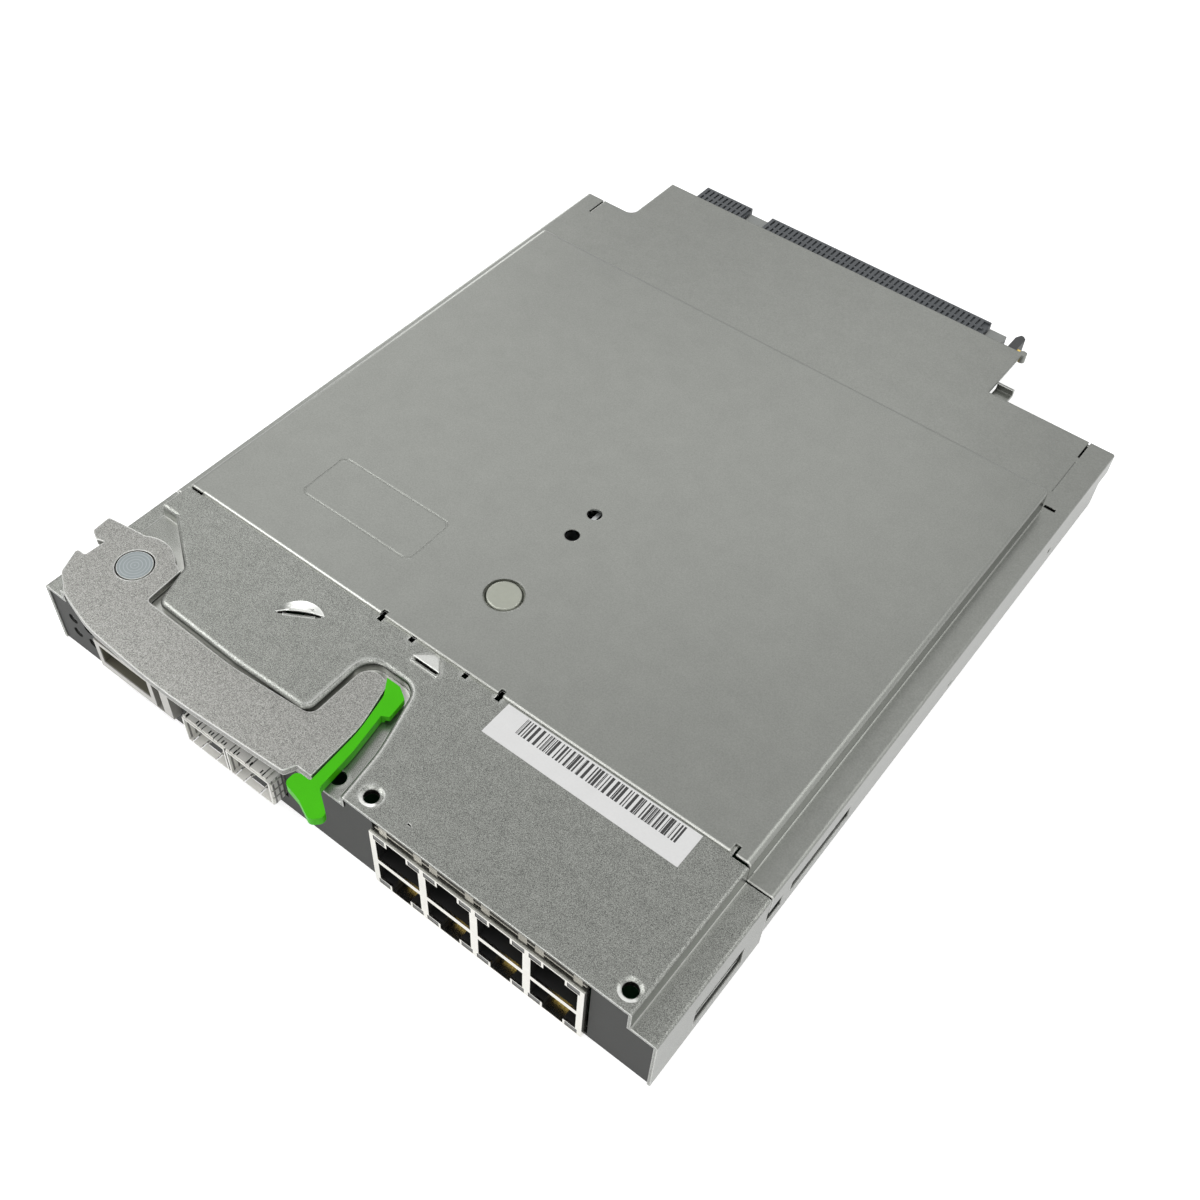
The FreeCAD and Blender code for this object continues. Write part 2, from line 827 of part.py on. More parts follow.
def front_cover():
    along = ("0", "seam - seam_gap")
    body = stepped_solid("front_outer", along, "0", "0", FRONT_TOP, along[1])
    above = f"height + {REACH}"
    pocket = plate("recess", recess_corners(0), (RECESS_FLOOR, above))
    top = size.height - size.sheet
    step_right = size.width - size.ledge_width
    ledge = size.height - size.ledge_drop
    rear = size.seam - size.seam_gap

    def rim_edge(middle):
        inside = 0.01 < middle.y < rear - 0.01 and size.ledge_width + 0.01 < middle.x < step_right - 0.01
        return near(middle.z, top) and inside

    def side_edge(middle):
        ledge_side = near(middle.z, ledge) and (near(middle.x, 0) or near(middle.x, size.width))
        return ledge_side or near(middle.z, top) and near(middle.x, step_right)

    outer = rounded("recess_rim", cut("front_pressed", body, pocket), size.rim_round, rim_edge)
    outer = rounded("front_edges", outer, size.edge_round, side_edge)
    beyond = (f"-{REACH}", f"seam + {REACH}")
    inner = stepped_solid("front_inner", beyond, "sheet", f"-{REACH}", FRONT_TOP, beyond[1])
    under = plate("recess_under", recess_corners(size.sheet), (f"{RECESS_FLOOR} - sheet", above))
    through = (f"{RECESS_FLOOR} - {REACH}", above)
    slot_up = ("side_slot_low", "side_slot_high")
    holes = [
        post("catch_hole", "catch_radius", f"{ARM_RIGHT} + 2 * catch_radius", "screw_setback", through),
        post("rivet_hole", "rivet_radius + slip", "pivot_x", "pivot_y", through),
        louvre_slot(),
        louvre_mouth(),
        lance_slot(),
        slot_mark(through),
        box("front_side_slot", (f"width - {REACH}", f"width + {REACH}"), side_slots()[0], slot_up),
    ]
    holes += seam_reliefs("front", "seam - relief_front", through)
    collar_top = f"({FRONT_TOP} - sheet)"
    collar_low = f"({collar_top} - collar_length)"
    collars = []
    for side, x in (("left", f"{RECESS_RIGHT} + screw_gap"), ("right", "width - screw_right_margin")):
        wall = "screw_radius + collar_wall"
        collars.append(post(f"collar_{side}", wall, x, "screw_setback", (collar_low, collar_top)))
        bore_up = (f"{collar_low} - {REACH}", above)
        holes.append(post(f"screw_hole_{side}", "screw_radius", x, "screw_setback", bore_up))
        flare = "screw_radius + screw_flare"
        flare_up = (f"{FRONT_TOP} - sheet / 2", FRONT_TOP)
        holes.append(taper(f"screw_flare_{side}", "screw_radius", flare, x, "screw_setback", flare_up))
    lip = box(
        "seam_lip",
        (LIP_LEFT, CORNER_RELIEF),
        ("seam - 2 * seam_gap", "seam + overlap"),
        (f"{FRONT_TOP} - sheet", FRONT_TOP),
    )
    shell = cut("front_shell", outer, cut("front_hollow", inner, under))
    formed = joined("front_formed", shell, lip, louvre(), louvre_lip(), lance(), lance_lip(), *collars)
    piece("front_cover", cut("front", formed, *holes))


def louvre():
    """A half-moon bulge in the front cover: part of a ball, open along its straight side."""
    half = size.louvre_length / 2
    disc = (half**2 + size.louvre_bulge**2) / (2 * size.louvre_bulge)
    radius = (disc**2 + size.louvre_rise**2) / (2 * size.louvre_rise)
    turn = FreeCAD.Rotation(Vector(0, 0, 1), size.louvre_angle)
    middle = Vector(size.louvre_x, size.louvre_y, 0)
    centre = middle + turn.multVec(Vector(0, size.louvre_bulge - disc, 0))
    start = middle - turn.multVec(Vector(half, 0, 0))
    ball = doc.addObject("Part::Sphere", "louvre_ball")
    ball.Radius = radius
    place(ball, centre.x, centre.y, f"{FRONT_TOP} + louvre_rise - {radius}")
    keep = box("louvre_keep", ("0", "louvre_length"), ("0", "louvre_length"), ("0", "louvre_length"))
    keep.Placement.Rotation = turn
    place(keep, start.x, start.y, f"{FRONT_TOP} - sheet / 2")
    dome = doc.addObject("Part::Common", "louvre_dome")
    dome.Base = ball
    dome.Tool = keep
    return dome


def beside_louvre(name, length, along, up):
    """A block along the louvre's straight side, centred on it and turned with it."""
    turn = FreeCAD.Rotation(Vector(0, 0, 1), size.louvre_angle)
    corner = turn.multVec(Vector(-length / 2, along[0], 0))
    block = box(name, (0, length), along, up)
    block.Placement.Rotation = turn
    place(block, size.louvre_x + corner.x, size.louvre_y + corner.y, up[0])
    return block


def louvre_slot():
    """The slit through the sheet along the louvre's straight edge."""
    up = (f"{FRONT_TOP} - sheet - {REACH}", f"height + {REACH}")
    return beside_louvre("louvre_slot", size.louvre_length - 2 * size.sheet, (-size.pierce, 0), up)


def louvre_mouth():
    """The hollow under the louvre, open to the slit."""
    along = (-size.pierce, size.louvre_mouth_deep)
    up = (f"{FRONT_TOP} - sheet - {REACH}", f"{FRONT_TOP} + louvre_mouth_high")
    return beside_louvre("louvre_hollow", size.louvre_mouth, along, up)


def louvre_lip():
    """The low lip in front of the louvre's slit."""
    length = size.louvre_length - 2 * size.sheet - 2 * size.lip_inset
    along = (-size.pierce - size.lip_width, -size.pierce)
    up = (f"{FRONT_TOP} - sheet / 2", f"{FRONT_TOP} + lip_rise")
    return beside_louvre("louvre_lip", length, along, up)


def lance():
    """A small tent pressed up beside the seam: high along its front and pointed at the back."""
    tent = doc.addObject("Part::Wedge", "lance")
    tip_left = "(lance_length - lance_tip) / 2"
    limits = {
        "Xmin": "0",
        "Xmax": "lance_length",
        "Ymin": "0",
        "Ymax": "lance_reach",
        "Zmin": "0",
        "Zmax": "sheet / 2 + lance_rise",
        "X2min": tip_left,
        "X2max": f"{tip_left} + lance_tip",
        "Z2min": "0",
        "Z2max": "sheet / 2",
    }
    for prop, text in limits.items():
        bind(tent, prop, text)
    place(tent, "lance_x", LANCE_FRONT, f"{FRONT_TOP} - sheet / 2")
    return tent


def lance_slot():
    """The slit through the sheet along the lance's front edge."""
    across = ("lance_x + sheet", "lance_x + lance_length - sheet")
    up = (f"{FRONT_TOP} - sheet - {REACH}", f"height + {REACH}")
    return box("lance_slot", across, (f"{LANCE_FRONT} - pierce", LANCE_FRONT), up)


def lance_lip():
    """The low lip in front of the lance's slit."""
    across = ("lance_x", "lance_x + lance_length")
    along = (f"{LANCE_FRONT} - pierce - lip_width", f"{LANCE_FRONT} - pierce")
    return box("lance_lip", across, along, (f"{FRONT_TOP} - sheet / 2", f"{FRONT_TOP} + lip_rise"))


def slot_mark(up):
    """A tiny slot beside the left screw hole."""
    left = f"({RECESS_RIGHT} + screw_gap + slot_mark_x)"
    along = ("screw_setback - slot_mark_width", "screw_setback")
    return box("slot_mark", (left, f"{left} + slot_mark_length"), along, up)


def front_panel():
    face = ("panel_setback", "panel_setback + panel_thick")
    recess_right = f"({RECESS_RIGHT} + sheet + slip)"
    low_top = f"({LEDGE} - sheet - slip)"
    inner_left = "(ledge_width + sheet + slip)"
    inner_right = f"({STEP_RIGHT} - sheet - slip)"
    body = joined(
        "panel_body",
        box("panel_low", (TRAY_LEFT, TRAY_RIGHT), face, ("0", low_top)),
        box("panel_left", (inner_left, inner_right), face, (low_top, f"{RECESS_FLOOR} - sheet - slip")),
        box("panel_right", (recess_right, inner_right), face, (low_top, f"{FRONT_TOP} - sheet - slip")),
    )
    deep = (f"-{REACH}", f"panel_setback + panel_thick + {REACH}")
    gap = "opening_gap"
    finger = f"(finger_thick + {gap})"
    openings = [
        box(
            "jack_opening",
            (f"{JACK_LEFT} - {gap}", f"{JACK_RIGHT} + {gap}"),
            deep,
            (f"{JACK_LOW} - slip", FRONT_TOP),
        ),
        box(
            "cage_opening",
            (f"cage_left - {finger}", f"{CAGE_RIGHT} + {finger}"),
            deep,
            (f"{BOARD_TOP} - {gap}", f"{BOARD_TOP} + cage_high + {finger}"),
        ),
        box(
            "stack_opening",
            (f"stack_left - {gap}", f"stack_left + stack_width + clip_gap + clip_width + {gap}"),
            deep,
            (f"{BOARD_TOP} - {gap}", f"{BOARD_TOP} + stack_high + {gap}"),
        ),
    ]
    for name, x, z in lamp_places():
        openings.append(rod_back(f"panel_{name}", "lamp_radius + lamp_gap", x, z, deep))
    piece("front_panel", cut("panel", body, *openings))


def lamp_places():
    """Names and places of the four status lights."""
    for column in range(2):
        x = f"lamp_left + {column} * lamp_pitch"
        for row in range(2):
            yield f"lamp_{column}{row}", x, f"lamp_low + {row} * lamp_rise"


def status_lights():
    holder_front = "(panel_setback + lamp_setback + lamp_length)"
    along = ("panel_setback + lamp_setback", holder_front)
    lamps = [rod_back(name, "lamp_radius", x, z, along) for name, x, z in lamp_places()]
    piece("status_lights", *lamps)
    piece(
        "lamp_holder",
        box(
            "holder",
            ("lamp_left - holder_rim", "lamp_left + lamp_pitch + holder_rim"),
            (holder_front, f"{holder_front} + holder_depth"),
            (BOARD_TOP, "lamp_low + lamp_rise + holder_rim"),
        ),
    )


def lever_corners():
    """The lever's outline: two teeth at the left, the curved bar, and the arm with a notched tip."""
    x = size.pivot_x
    y = size.pivot_y
    tip = x - size.tooth_reach
    root = x - size.tooth_root
    lean = size.tooth_lean
    tooth = y + size.tooth_back
    notch = y - size.tooth_notch
    front = -size.bar_overhang
    right = arm_right()
    left = right - size.arm_width
    bar = size.bar_back
    side = x + size.hub_side
    nick = size.nick_round
    tip_left = right - size.tip_width
    return [
        (root - lean, tooth + lean, size.nose_round),
        (tip, tooth - lean, size.nose_round),
        (tip + lean, y + size.tooth_floor, size.tooth_floor),
        (root - size.gullet, y - lean, nick),
        (root + lean, y + lean, 0),
        (root, notch, nick),
        (root - size.toe_reach, notch, size.nose_round),
        (root, y - size.toe_front, size.toe_round),
        (x - size.bar_shoulder, front + size.bar_rise, size.bar_turn),
        (x + size.bar_shoulder, front + size.crest_rise, size.bar_bend),
        (x + size.crest_x, front, size.crest_bend),
        (tip_left - size.tip_slant, front + size.tip_drop, size.tip_round),
        (tip_left, 0, 0),
        (right, 0, 0),
        (right - size.arm_bow, y + size.arm_bow, size.arm_bend),
        (right - size.arm_lean, size.arm_back, size.arm_round),
        (left, size.arm_back, size.arm_round),
        (left, bar + size.arm_root, size.corner_round),
        (left - size.sag_gap, bar - size.bar_sag, size.sag_bend),
        (side + nick, bar + size.bar_wave, size.shoulder_round),
        (side - lean, y + size.hub_corner, nick),
        (x, y + size.hub_radius - size.tooth_floor, 0),
    ]


def ejector_lever():
    plate_up = (LEVER_LOW, LEVER_TOP)
    lug_up = (LEVER_LOW, LUG_TOP)
    body = joined(
        "lever_body",
        plate("lever_plate", lever_corners(), plate_up),
        post("lever_hub", "hub_radius", "pivot_x", "pivot_y", plate_up),
        post("lever_lug", "lug_radius", LATCH_PIN_X, "latch_pin_back", lug_up),
        box(
            "lever_lug_neck",
            (f"{LATCH_PIN_X} - arm_width / 2", LATCH_PIN_X),
            ("latch_pin_back - lug_radius", "latch_pin_back + lug_radius"),
            lug_up,
        ),
    )
    step = f"({LEVER_TOP} - head_thick - running_gap)"
    through = (f"{LEVER_LOW} - {REACH}", f"{LEVER_TOP} + {REACH}")
    lever = cut(
        "lever",
        body,
        post("lever_bore", "rivet_radius + running_gap", "pivot_x", "pivot_y", through),
        post("lever_sink", "head_radius + 2 * running_gap", "pivot_x", "pivot_y", (step, through[1])),
        post("pin_seat", "latch_pin_radius", LATCH_PIN_X, "latch_pin_back", through),
    )
    piece("ejector_lever", lever)
    head_low = f"({LEVER_TOP} - head_thick)"
    head_top_radius = "(head_radius - head_bevel)"
    tail_top = f"({RECESS_FLOOR} - sheet)"
    rivet = joined(
        "rivet",
        taper("rivet_head", "head_radius", head_top_radius, "pivot_x", "pivot_y", (head_low, LEVER_TOP)),
        post("rivet_shank", "rivet_radius", "pivot_x", "pivot_y", (tail_top, head_low)),
        post("rivet_foot", "head_radius", "pivot_x", "pivot_y", (f"{tail_top} - rivet_upset", tail_top)),
    )
    piece("lever_rivet", rivet)


def latch_corners():
    """The latch's outline: a wide head, a narrow strip and a forked finger grip at the front."""
    left = arm_right() + size.latch_gap
    right = left + size.latch_strip
    bow = size.latch_bow
    pin = size.latch_pin_back
    shoulder = pin - size.head_front
    prong = -size.grip_set - size.grip_prong
    nose = left + size.grip_right
    nick = size.nick_round
    soft = size.grip_round
    return [
        (left, -size.grip_set, nick),
        (left - size.grip_left, -size.grip_set, soft),
        (left - size.grip_left, prong, soft),
        (left + size.latch_strip / 2, prong - size.grip_slope, 2 * soft),
        (nose - size.grip_nose, -size.grip_reach, soft),
        (nose, size.grip_nose - size.grip_reach, soft),
        (right, -size.grip_set, soft),
        (right - bow, size.bar_back, size.latch_bend),
        (right - size.neck_cut, shoulder, 0),
        (right - size.head_step, shoulder + size.head_step, 0),
        (right - size.head_side, pin + size.head_corner, 2 * nick),
        (left - size.head_slant, pin + size.head_back, soft),
        (left - size.head_left, pin + size.head_back, 0),
        (left - size.head_inner, pin, size.head_bend),
        (left - bow, size.pivot_y - bow, size.latch_bend),
    ]


def release_latch():
    head = box(
        "head_relief",
        (f"{ARM_RIGHT} - arm_width", f"{ARM_RIGHT} + arm_width"),
        ("latch_pin_back - 2 * lug_radius", "latch_pin_back + 3 * lug_radius"),
        (f"{LATCH_LOW} - {REACH}", f"{LUG_TOP} + lever_lift"),
    )
    pin_top = f"({LEVER_LOW} + latch_pin_rise)"
    body = plate("latch_body", latch_corners(), (LATCH_LOW, LATCH_TOP))
    bore = post(
        "latch_bore",
        "latch_pin_radius + running_gap",
        LATCH_PIN_X,
        "latch_pin_back",
        (f"{LATCH_LOW} - {REACH}", f"{pin_top} + slip"),
    )
    piece("release_latch", cut("latch", body, head, bore))
    piece("latch_pin", post("pin", "latch_pin_radius", LATCH_PIN_X, "latch_pin_back", (LEVER_LOW, pin_top)))


def main_board():
    up = (BOARD_LOW, BOARD_TOP)
    margin = f"({TRAY_LEFT} + sheet + board_margin)"
    body = joined(
        "board_body",
        box(
            "board_main",
            (margin, f"width - {margin}"),
            (f"{TRAY_FRONT} + board_margin", "depth - sheet - board_margin"),
            up,
        ),
        box(
            "board_tongue",
            ("tongue_left + sheet + board_margin", f"{INSET_RIGHT} - sheet - board_margin"),
            ("depth - seam", TONGUE_END),
            up,
        ),
    )
    cuts = [
        box(
            "board_jack_cut",
            (f"{JACK_LEFT} - opening_gap", f"{JACK_RIGHT} + opening_gap"),
            (f"-{REACH}", "jack_depth - jack_proud + opening_gap"),
            up,
        )
    ]
    supports = []
    notch = "(support_neck + support_gap)"
    left_side = ("support_inset", ("0", f"support_inset + {notch}"))
    right_side = ("width - support_inset", (f"width - support_inset - {notch}", "width"))
    for column, (x, across) in enumerate((left_side, right_side)):
        for row, y in enumerate(("support_front", "depth - support_front")):
            name = f"{column}{row}"
            cuts.append(box(f"board_notch_{name}", across, (f"{y} - {notch}", f"{y} + {notch}"), up))
            foot = hexagon(f"support_foot_{name}", "support_radius", x, y, ("floor_sheet", BOARD_LOW))
            neck = hexagon(f"support_neck_{name}", "support_neck", x, y, up)
            cap_up = (BOARD_TOP, f"{BOARD_TOP} + support_cap")
            cap = hexagon(f"support_cap_{name}", "support_radius", x, y, cap_up)
            supports.append(joined(f"support_{name}", foot, neck, cap))
    piece("main_board", cut("board", body, *cuts))
    piece("board_supports", *supports)


def jack_rows():
    """Mouth and notch levels of the lower and the upper row of sockets."""
    middle = f"(({JACK_LOW} + {JACK_TOP}) / 2 - jack_bar_drop)"
    low_edge = f"({JACK_LOW} + jack_rim)"
    high_edge = f"({JACK_TOP} - jack_rim)"
    lower = (low_edge, f"({middle} - jack_bar / 2)")
    upper = (f"({middle} + jack_bar / 2)", high_edge)
    lower_notch = (f"{JACK_LOW} + shield_wall", low_edge)
    upper_notch = (high_edge, f"{JACK_TOP} - shield_wall")
    return (("low", lower, lower_notch), ("high", upper, upper_notch))


def jack_sockets(name, along):
    """Blocks that fill the eight sockets, each a mouth with a latch notch."""
    blocks = []
    for column in range(JACK_COLUMNS):
        left = f"({JACK_LEFT} + jack_end_wall + {column} * jack_pitch)"
        centre = f"({left} + jack_mouth / 2)"
        for row, mouth, notch in jack_rows():
            label = f"{name}_{row}_{column}"
            blocks.append(box(label, (left, f"{left} + jack_mouth"), along, mouth))
            across = (f"{centre} - jack_notch / 2", f"{centre} + jack_notch / 2")
            blocks.append(box(label + "_notch", across, along, notch))
    return blocks


def jack_lamps(name, along, grow):
    """Blocks for the small lights, two beside each socket's notch."""
    blocks = []
    for column in range(JACK_COLUMNS):
        left = f"({JACK_LEFT} + jack_end_wall + {column} * jack_pitch)"
        for row, _, notch in jack_rows():
            if row == "low":
                low, top = f"({notch[0]} + slip)", f"({notch[1]} - light_gap)"
            else:
                low, top = f"({notch[0]} + light_gap)", f"({notch[1]} - slip)"
            up = (f"{low} - {grow}", f"{top} + {grow}")
            right = f"({left} + jack_mouth - light_width + light_outset)"
            spots = (("left", f"({left} - light_outset)"), ("right", right))
            for side, start in spots:
                across = (f"{start} - {grow}", f"{start} + light_width + {grow}")
                blocks.append(box(f"{name}_{row}_{side}_{column}", across, along, up))
    return blocks


def jack_block():
    back = "(jack_depth - jack_proud)"
    front = "(-jack_proud)"
    inside = "shield_wall"
    outer = box("shield_outer", (JACK_LEFT, JACK_RIGHT), (front, back), (JACK_LOW, JACK_TOP))
    inner = box(
        "shield_inner",
        (f"{JACK_LEFT} + {inside}", f"{JACK_RIGHT} - {inside}"),
        (f"{front} + {inside}", f"{back} + {REACH}"),
        (f"{JACK_LOW} + {inside}", f"{JACK_TOP} - {inside}"),
    )
    mouth = (f"{front} - {REACH}", f"{front} + {inside} + slip")
    windows = jack_sockets("mouth", mouth) + jack_lamps("window", mouth, "slip")
    piece("jack_shield", cut("shield", outer, inner, *windows))
    block_front = f"({front} + {inside} + slip)"
    block_back = f"({block_front} + jack_socket_depth)"
    block_across = (f"{JACK_LEFT} + {inside} + slip", f"{JACK_RIGHT} - {inside} - slip")
    block_up = (f"{JACK_LOW} + {inside} + slip", f"{JACK_TOP} - {inside} - slip")
    block = box("housing_block", block_across, (block_front, block_back), block_up)
    socket = (f"{block_front} - slip", f"{block_back} + slip")
    lamp = (f"{front} + slip", f"{front} + light_length")
    pockets = jack_sockets("socket", socket) + jack_lamps("pocket", (socket[0], lamp[1]), "slip")
    piece("jack_housing", cut("housing", block, *pockets))
    piece("jack_core", box("core", block_across, (f"{block_back} + slip", back), block_up))
    piece("jack_lights", *jack_lamps("light", lamp, "0"))
    contacts = []
    for column in range(JACK_COLUMNS):
        centre = f"({JACK_LEFT} + jack_end_wall + {column} * jack_pitch + jack_mouth / 2)"
        for row, mouth_up, _ in jack_rows():
            for number in range(CONTACTS_PER_JACK):
                shift = f"({number} - {(CONTACTS_PER_JACK - 1) / 2}) * contact_pitch"
                left = f"({centre} + {shift} - contact_width / 2)"
                contacts.append(jack_contact(f"{row}_{column}_{number}", row, left, block_front, mouth_up))
    piece("jack_contacts", *contacts)
    spring_front = f"({front} + jack_spring_setback)"
    spring_along = (spring_front, f"{spring_front} + jack_spring_depth")
    strip_top = f"({JACK_TOP} + contact_thick)"
    strip_across = (f"{JACK_LEFT} + {inside}", f"{JACK_RIGHT} - {inside}")
    springs = [box("spring_strip", strip_across, spring_along, (JACK_TOP, strip_top))]
    for column in range(JACK_COLUMNS):
        left = f"({JACK_LEFT} + jack_end_wall + {column} * jack_pitch)"
        for side, start in (("left", left), ("right", f"({left} + jack_mouth - jack_spring_width)")):
            across = (start, f"{start} + jack_spring_width")
            up = (JACK_TOP, f"{JACK_TOP} + jack_spring_high")
            springs.append(box(f"spring_{side}_{column}", across, spring_along, up))
    piece("jack_springs", joined("spring_row", *springs))


def jack_contact(name, row, left, front, mouth_up):
    """A gold wire that slants into the socket from the side away from the notch."""
    reach = (size.jack_socket_depth - size.contact_setback) / math.cos(math.radians(size.wire_angle))
    length = reach - size.contact_thick
    wire = box(f"wire_{name}", ("0", "contact_width"), ("0", length), ("0", "contact_thick"))
    if row == "low":
        level = f"{mouth_up[1]} - contact_gap"
        angle = -size.wire_angle
    else:
        level = f"{mouth_up[0]} + contact_gap"
        angle = size.wire_angle
    wire.Placement.Rotation = FreeCAD.Rotation(Vector(1, 0, 0), angle)
    place(wire, left, f"{front} + contact_setback", level)
    return wire


def module_cages():
    front = "(-cage_proud)"
    back = "(cage_depth - cage_proud)"
    top = f"({BOARD_TOP} + cage_high)"
    for number, label in enumerate(("sfp_cage_left", "sfp_cage_right")):
        left = f"(cage_left + {number} * cage_pitch)"
        centre = f"({left} + cage_width / 2)"
        outer = box(label + "_outer", (left, f"{left} + cage_width"), (front, back), (BOARD_TOP, top))
        inner = box(
            label + "_inner",
            (f"{left} + cage_wall", f"{left} + cage_width - cage_wall"),
            (f"{front} - {REACH}", f"{back} - cage_wall"),
            (f"{BOARD_TOP} + cage_wall", f"{top} - cage_wall"),
        )
        floor = (f"{BOARD_TOP} - {REACH}", f"{BOARD_TOP} + cage_wall")
        cuts = [inner]
        slits = (
            ("outer", "- tab_slot_side"),
            ("left", "- tab_slot_spacing / 2"),
            ("right", "+ tab_slot_spacing / 2"),
        )
        for side, shift in slits:
            slot = f"({centre} {shift})"
            across = (f"{slot} - tab_slot_width / 2", f"{slot} + tab_slot_width / 2")
            slit_along = (f"{front} - {REACH}", f"{front} + tab_slot_length")
            cuts.append(box(f"{label}_slit_{side}", across, slit_along, floor))
        hole_across = (f"{centre} - tab_hole_width / 2", f"{centre} + tab_hole_width / 2")
        hole_front = f"({front} + tab_hole_setback)"
        hole_along = (hole_front, f"{hole_front} + tab_hole_length")
        cuts.append(box(label + "_hole", hole_across, hole_along, floor))
        piece(label, cut(label + "_shell", outer, *cuts))
    hosts = []
    for number in range(2):
        centre = f"(cage_left + {number} * cage_pitch + cage_width / 2)"
        along = (f"{back} - cage_wall - host_depth", f"{back} - cage_wall")
        up = (f"{BOARD_TOP} + cage_wall", f"{BOARD_TOP} + cage_wall + host_high")
        block_across = (f"{centre} - host_width / 2", f"{centre} + host_width / 2")
        block = box(f"host_{number}", block_across, along, up)
        slot_up = (f"{up[0]} + host_high / 2 - tab_slot_width", f"{up[0]} + host_high / 2 + tab_slot_width")
        across = (f"{centre} - host_width / 2 + cage_wall", f"{centre} + host_width / 2 - cage_wall")
        slot = box(f"host_slot_{number}", across, (along[0], f"{along[0]} + host_depth / 2"), slot_up)
        hosts.append(cut(f"host_body_{number}", block, slot))
    piece("sfp_connectors", *hosts)
    cage_fingers(front, top)


def cage_fingers(front, top):
    """Grounding fingers on the top and the outer sides of the two cages."""
    along = (f"{front} + finger_thick", f"{front} + finger_thick + finger_length")
    fingers = []
    top_up = (top, f"{top} + finger_thick")
    pitch = "(finger_narrow + finger_wide + 2 * finger_gap)"
    for number in range(CAGE_FINGERS):
        narrow = f"(cage_left + {number} * {pitch})"
        fingers.append(box(f"finger_narrow_{number}", (narrow, f"{narrow} + finger_narrow"), along, top_up))
    for number in range(CAGE_FINGERS - 1):
        wide = f"(cage_left + finger_narrow + finger_gap + {number} * {pitch})"
        fingers.append(box(f"finger_wide_{number}", (wide, f"{wide} + finger_wide"), along, top_up))
    left_side = ("cage_left - finger_thick", "cage_left")
    right_side = (CAGE_RIGHT, f"{CAGE_RIGHT} + finger_thick")
    for side, across in (("left", left_side), ("right", right_side)):
        for number in range(SIDE_FINGERS):
            low = f"({BOARD_TOP} + finger_thick + {number} * side_finger_pitch)"
            up = (low, f"{low} + side_finger_width")
            fingers.append(box(f"finger_{side}_{number}", across, along, up))
    piece("cage_fingers", *fingers)


def stacking_port():
    front = "(-stack_proud)"
    back = "(stack_depth - stack_proud)"
    right = "(stack_left + stack_width)"
    top = f"({BOARD_TOP} + stack_high)"
    pocket_across = ("stack_left + stack_side", f"{right} - stack_side")
    pocket_up = (f"{BOARD_TOP} + stack_lip", f"{top} - stack_top")
    shell = cut(
        "stack_body",
        box("stack_outer", ("stack_left", right), (front, back), (BOARD_TOP, top)),
        box("stack_hole", pocket_across, (f"{front} - {REACH}", f"{back} + {REACH}"), pocket_up),
    )
    clip_left = f"({right} + clip_gap)"
    clip_right = f"({clip_left} + clip_width)"
    clip_along = (front, f"{front} + clip_depth")
    clip_up = (BOARD_TOP, f"{top} - clip_drop")
    foot = box("clip_foot", (right, clip_right), clip_along, (BOARD_TOP, f"{BOARD_TOP} + clip_foot"))
    clip = box("clip", (clip_left, clip_right), clip_along, clip_up)
    piece("stack_shell", joined("stack_metal", shell, foot, clip))
    pocket_back = f"({front} + stack_pocket)"
    centre = "(stack_left + stack_width / 2)"
    level = f"(({pocket_up[0]} + {pocket_up[1]}) / 2)"
    blade = (f"{front} + blade_setback", pocket_back)
    insert = joined(
        "stack_core",
        box("stack_block", pocket_across, (pocket_back, back), pocket_up),
        box(
            "stack_blade",
            (f"{centre} - blade_width / 2", f"{centre} + blade_width / 2"),
            blade,
            (f"{level} - blade_thick / 2", f"{level} + blade_thick / 2"),
        ),
    )
    piece("stack_insert", insert)
    contacts = []
    for number in range(BLADE_CONTACTS):
        start = f"({centre} + ({number} - {(BLADE_CONTACTS - 1) / 2}) * blade_pitch - contact_width / 2)"
        across = (start, f"{start} + contact_width")
        up = (f"{level} + blade_thick / 2", f"{level} + blade_thick / 2 + contact_thick")
        contacts.append(box(f"blade_contact_{number}", across, blade, up))
    piece("stack_contacts", *contacts)


def ribbed_plug(label, left, right, ribs_fitted):
    """A backplane connector with ribs across its top."""
    base_top = f"({PLUG_TOP} - rib_high)"
    block = box(label + "_block", (left, right), (PLUG_START, PLUG_END), (BOARD_TOP, base_top))
    lip = box(label + "_lip", (left, right), (f"{PLUG_END} - rib_lip", PLUG_END), (base_top, PLUG_TOP))
    ribs = []
    for number in range(ribs_fitted):
        start = f"({left} + {number} * rib_pitch)"
        across = (start, f"{start} + rib_width")
        ribs.append(box(f"{label}_rib_{number}", across, (PLUG_START, PLUG_END), (base_top, PLUG_TOP)))
    piece(label, joined(label + "_body", block, lip, *ribs))


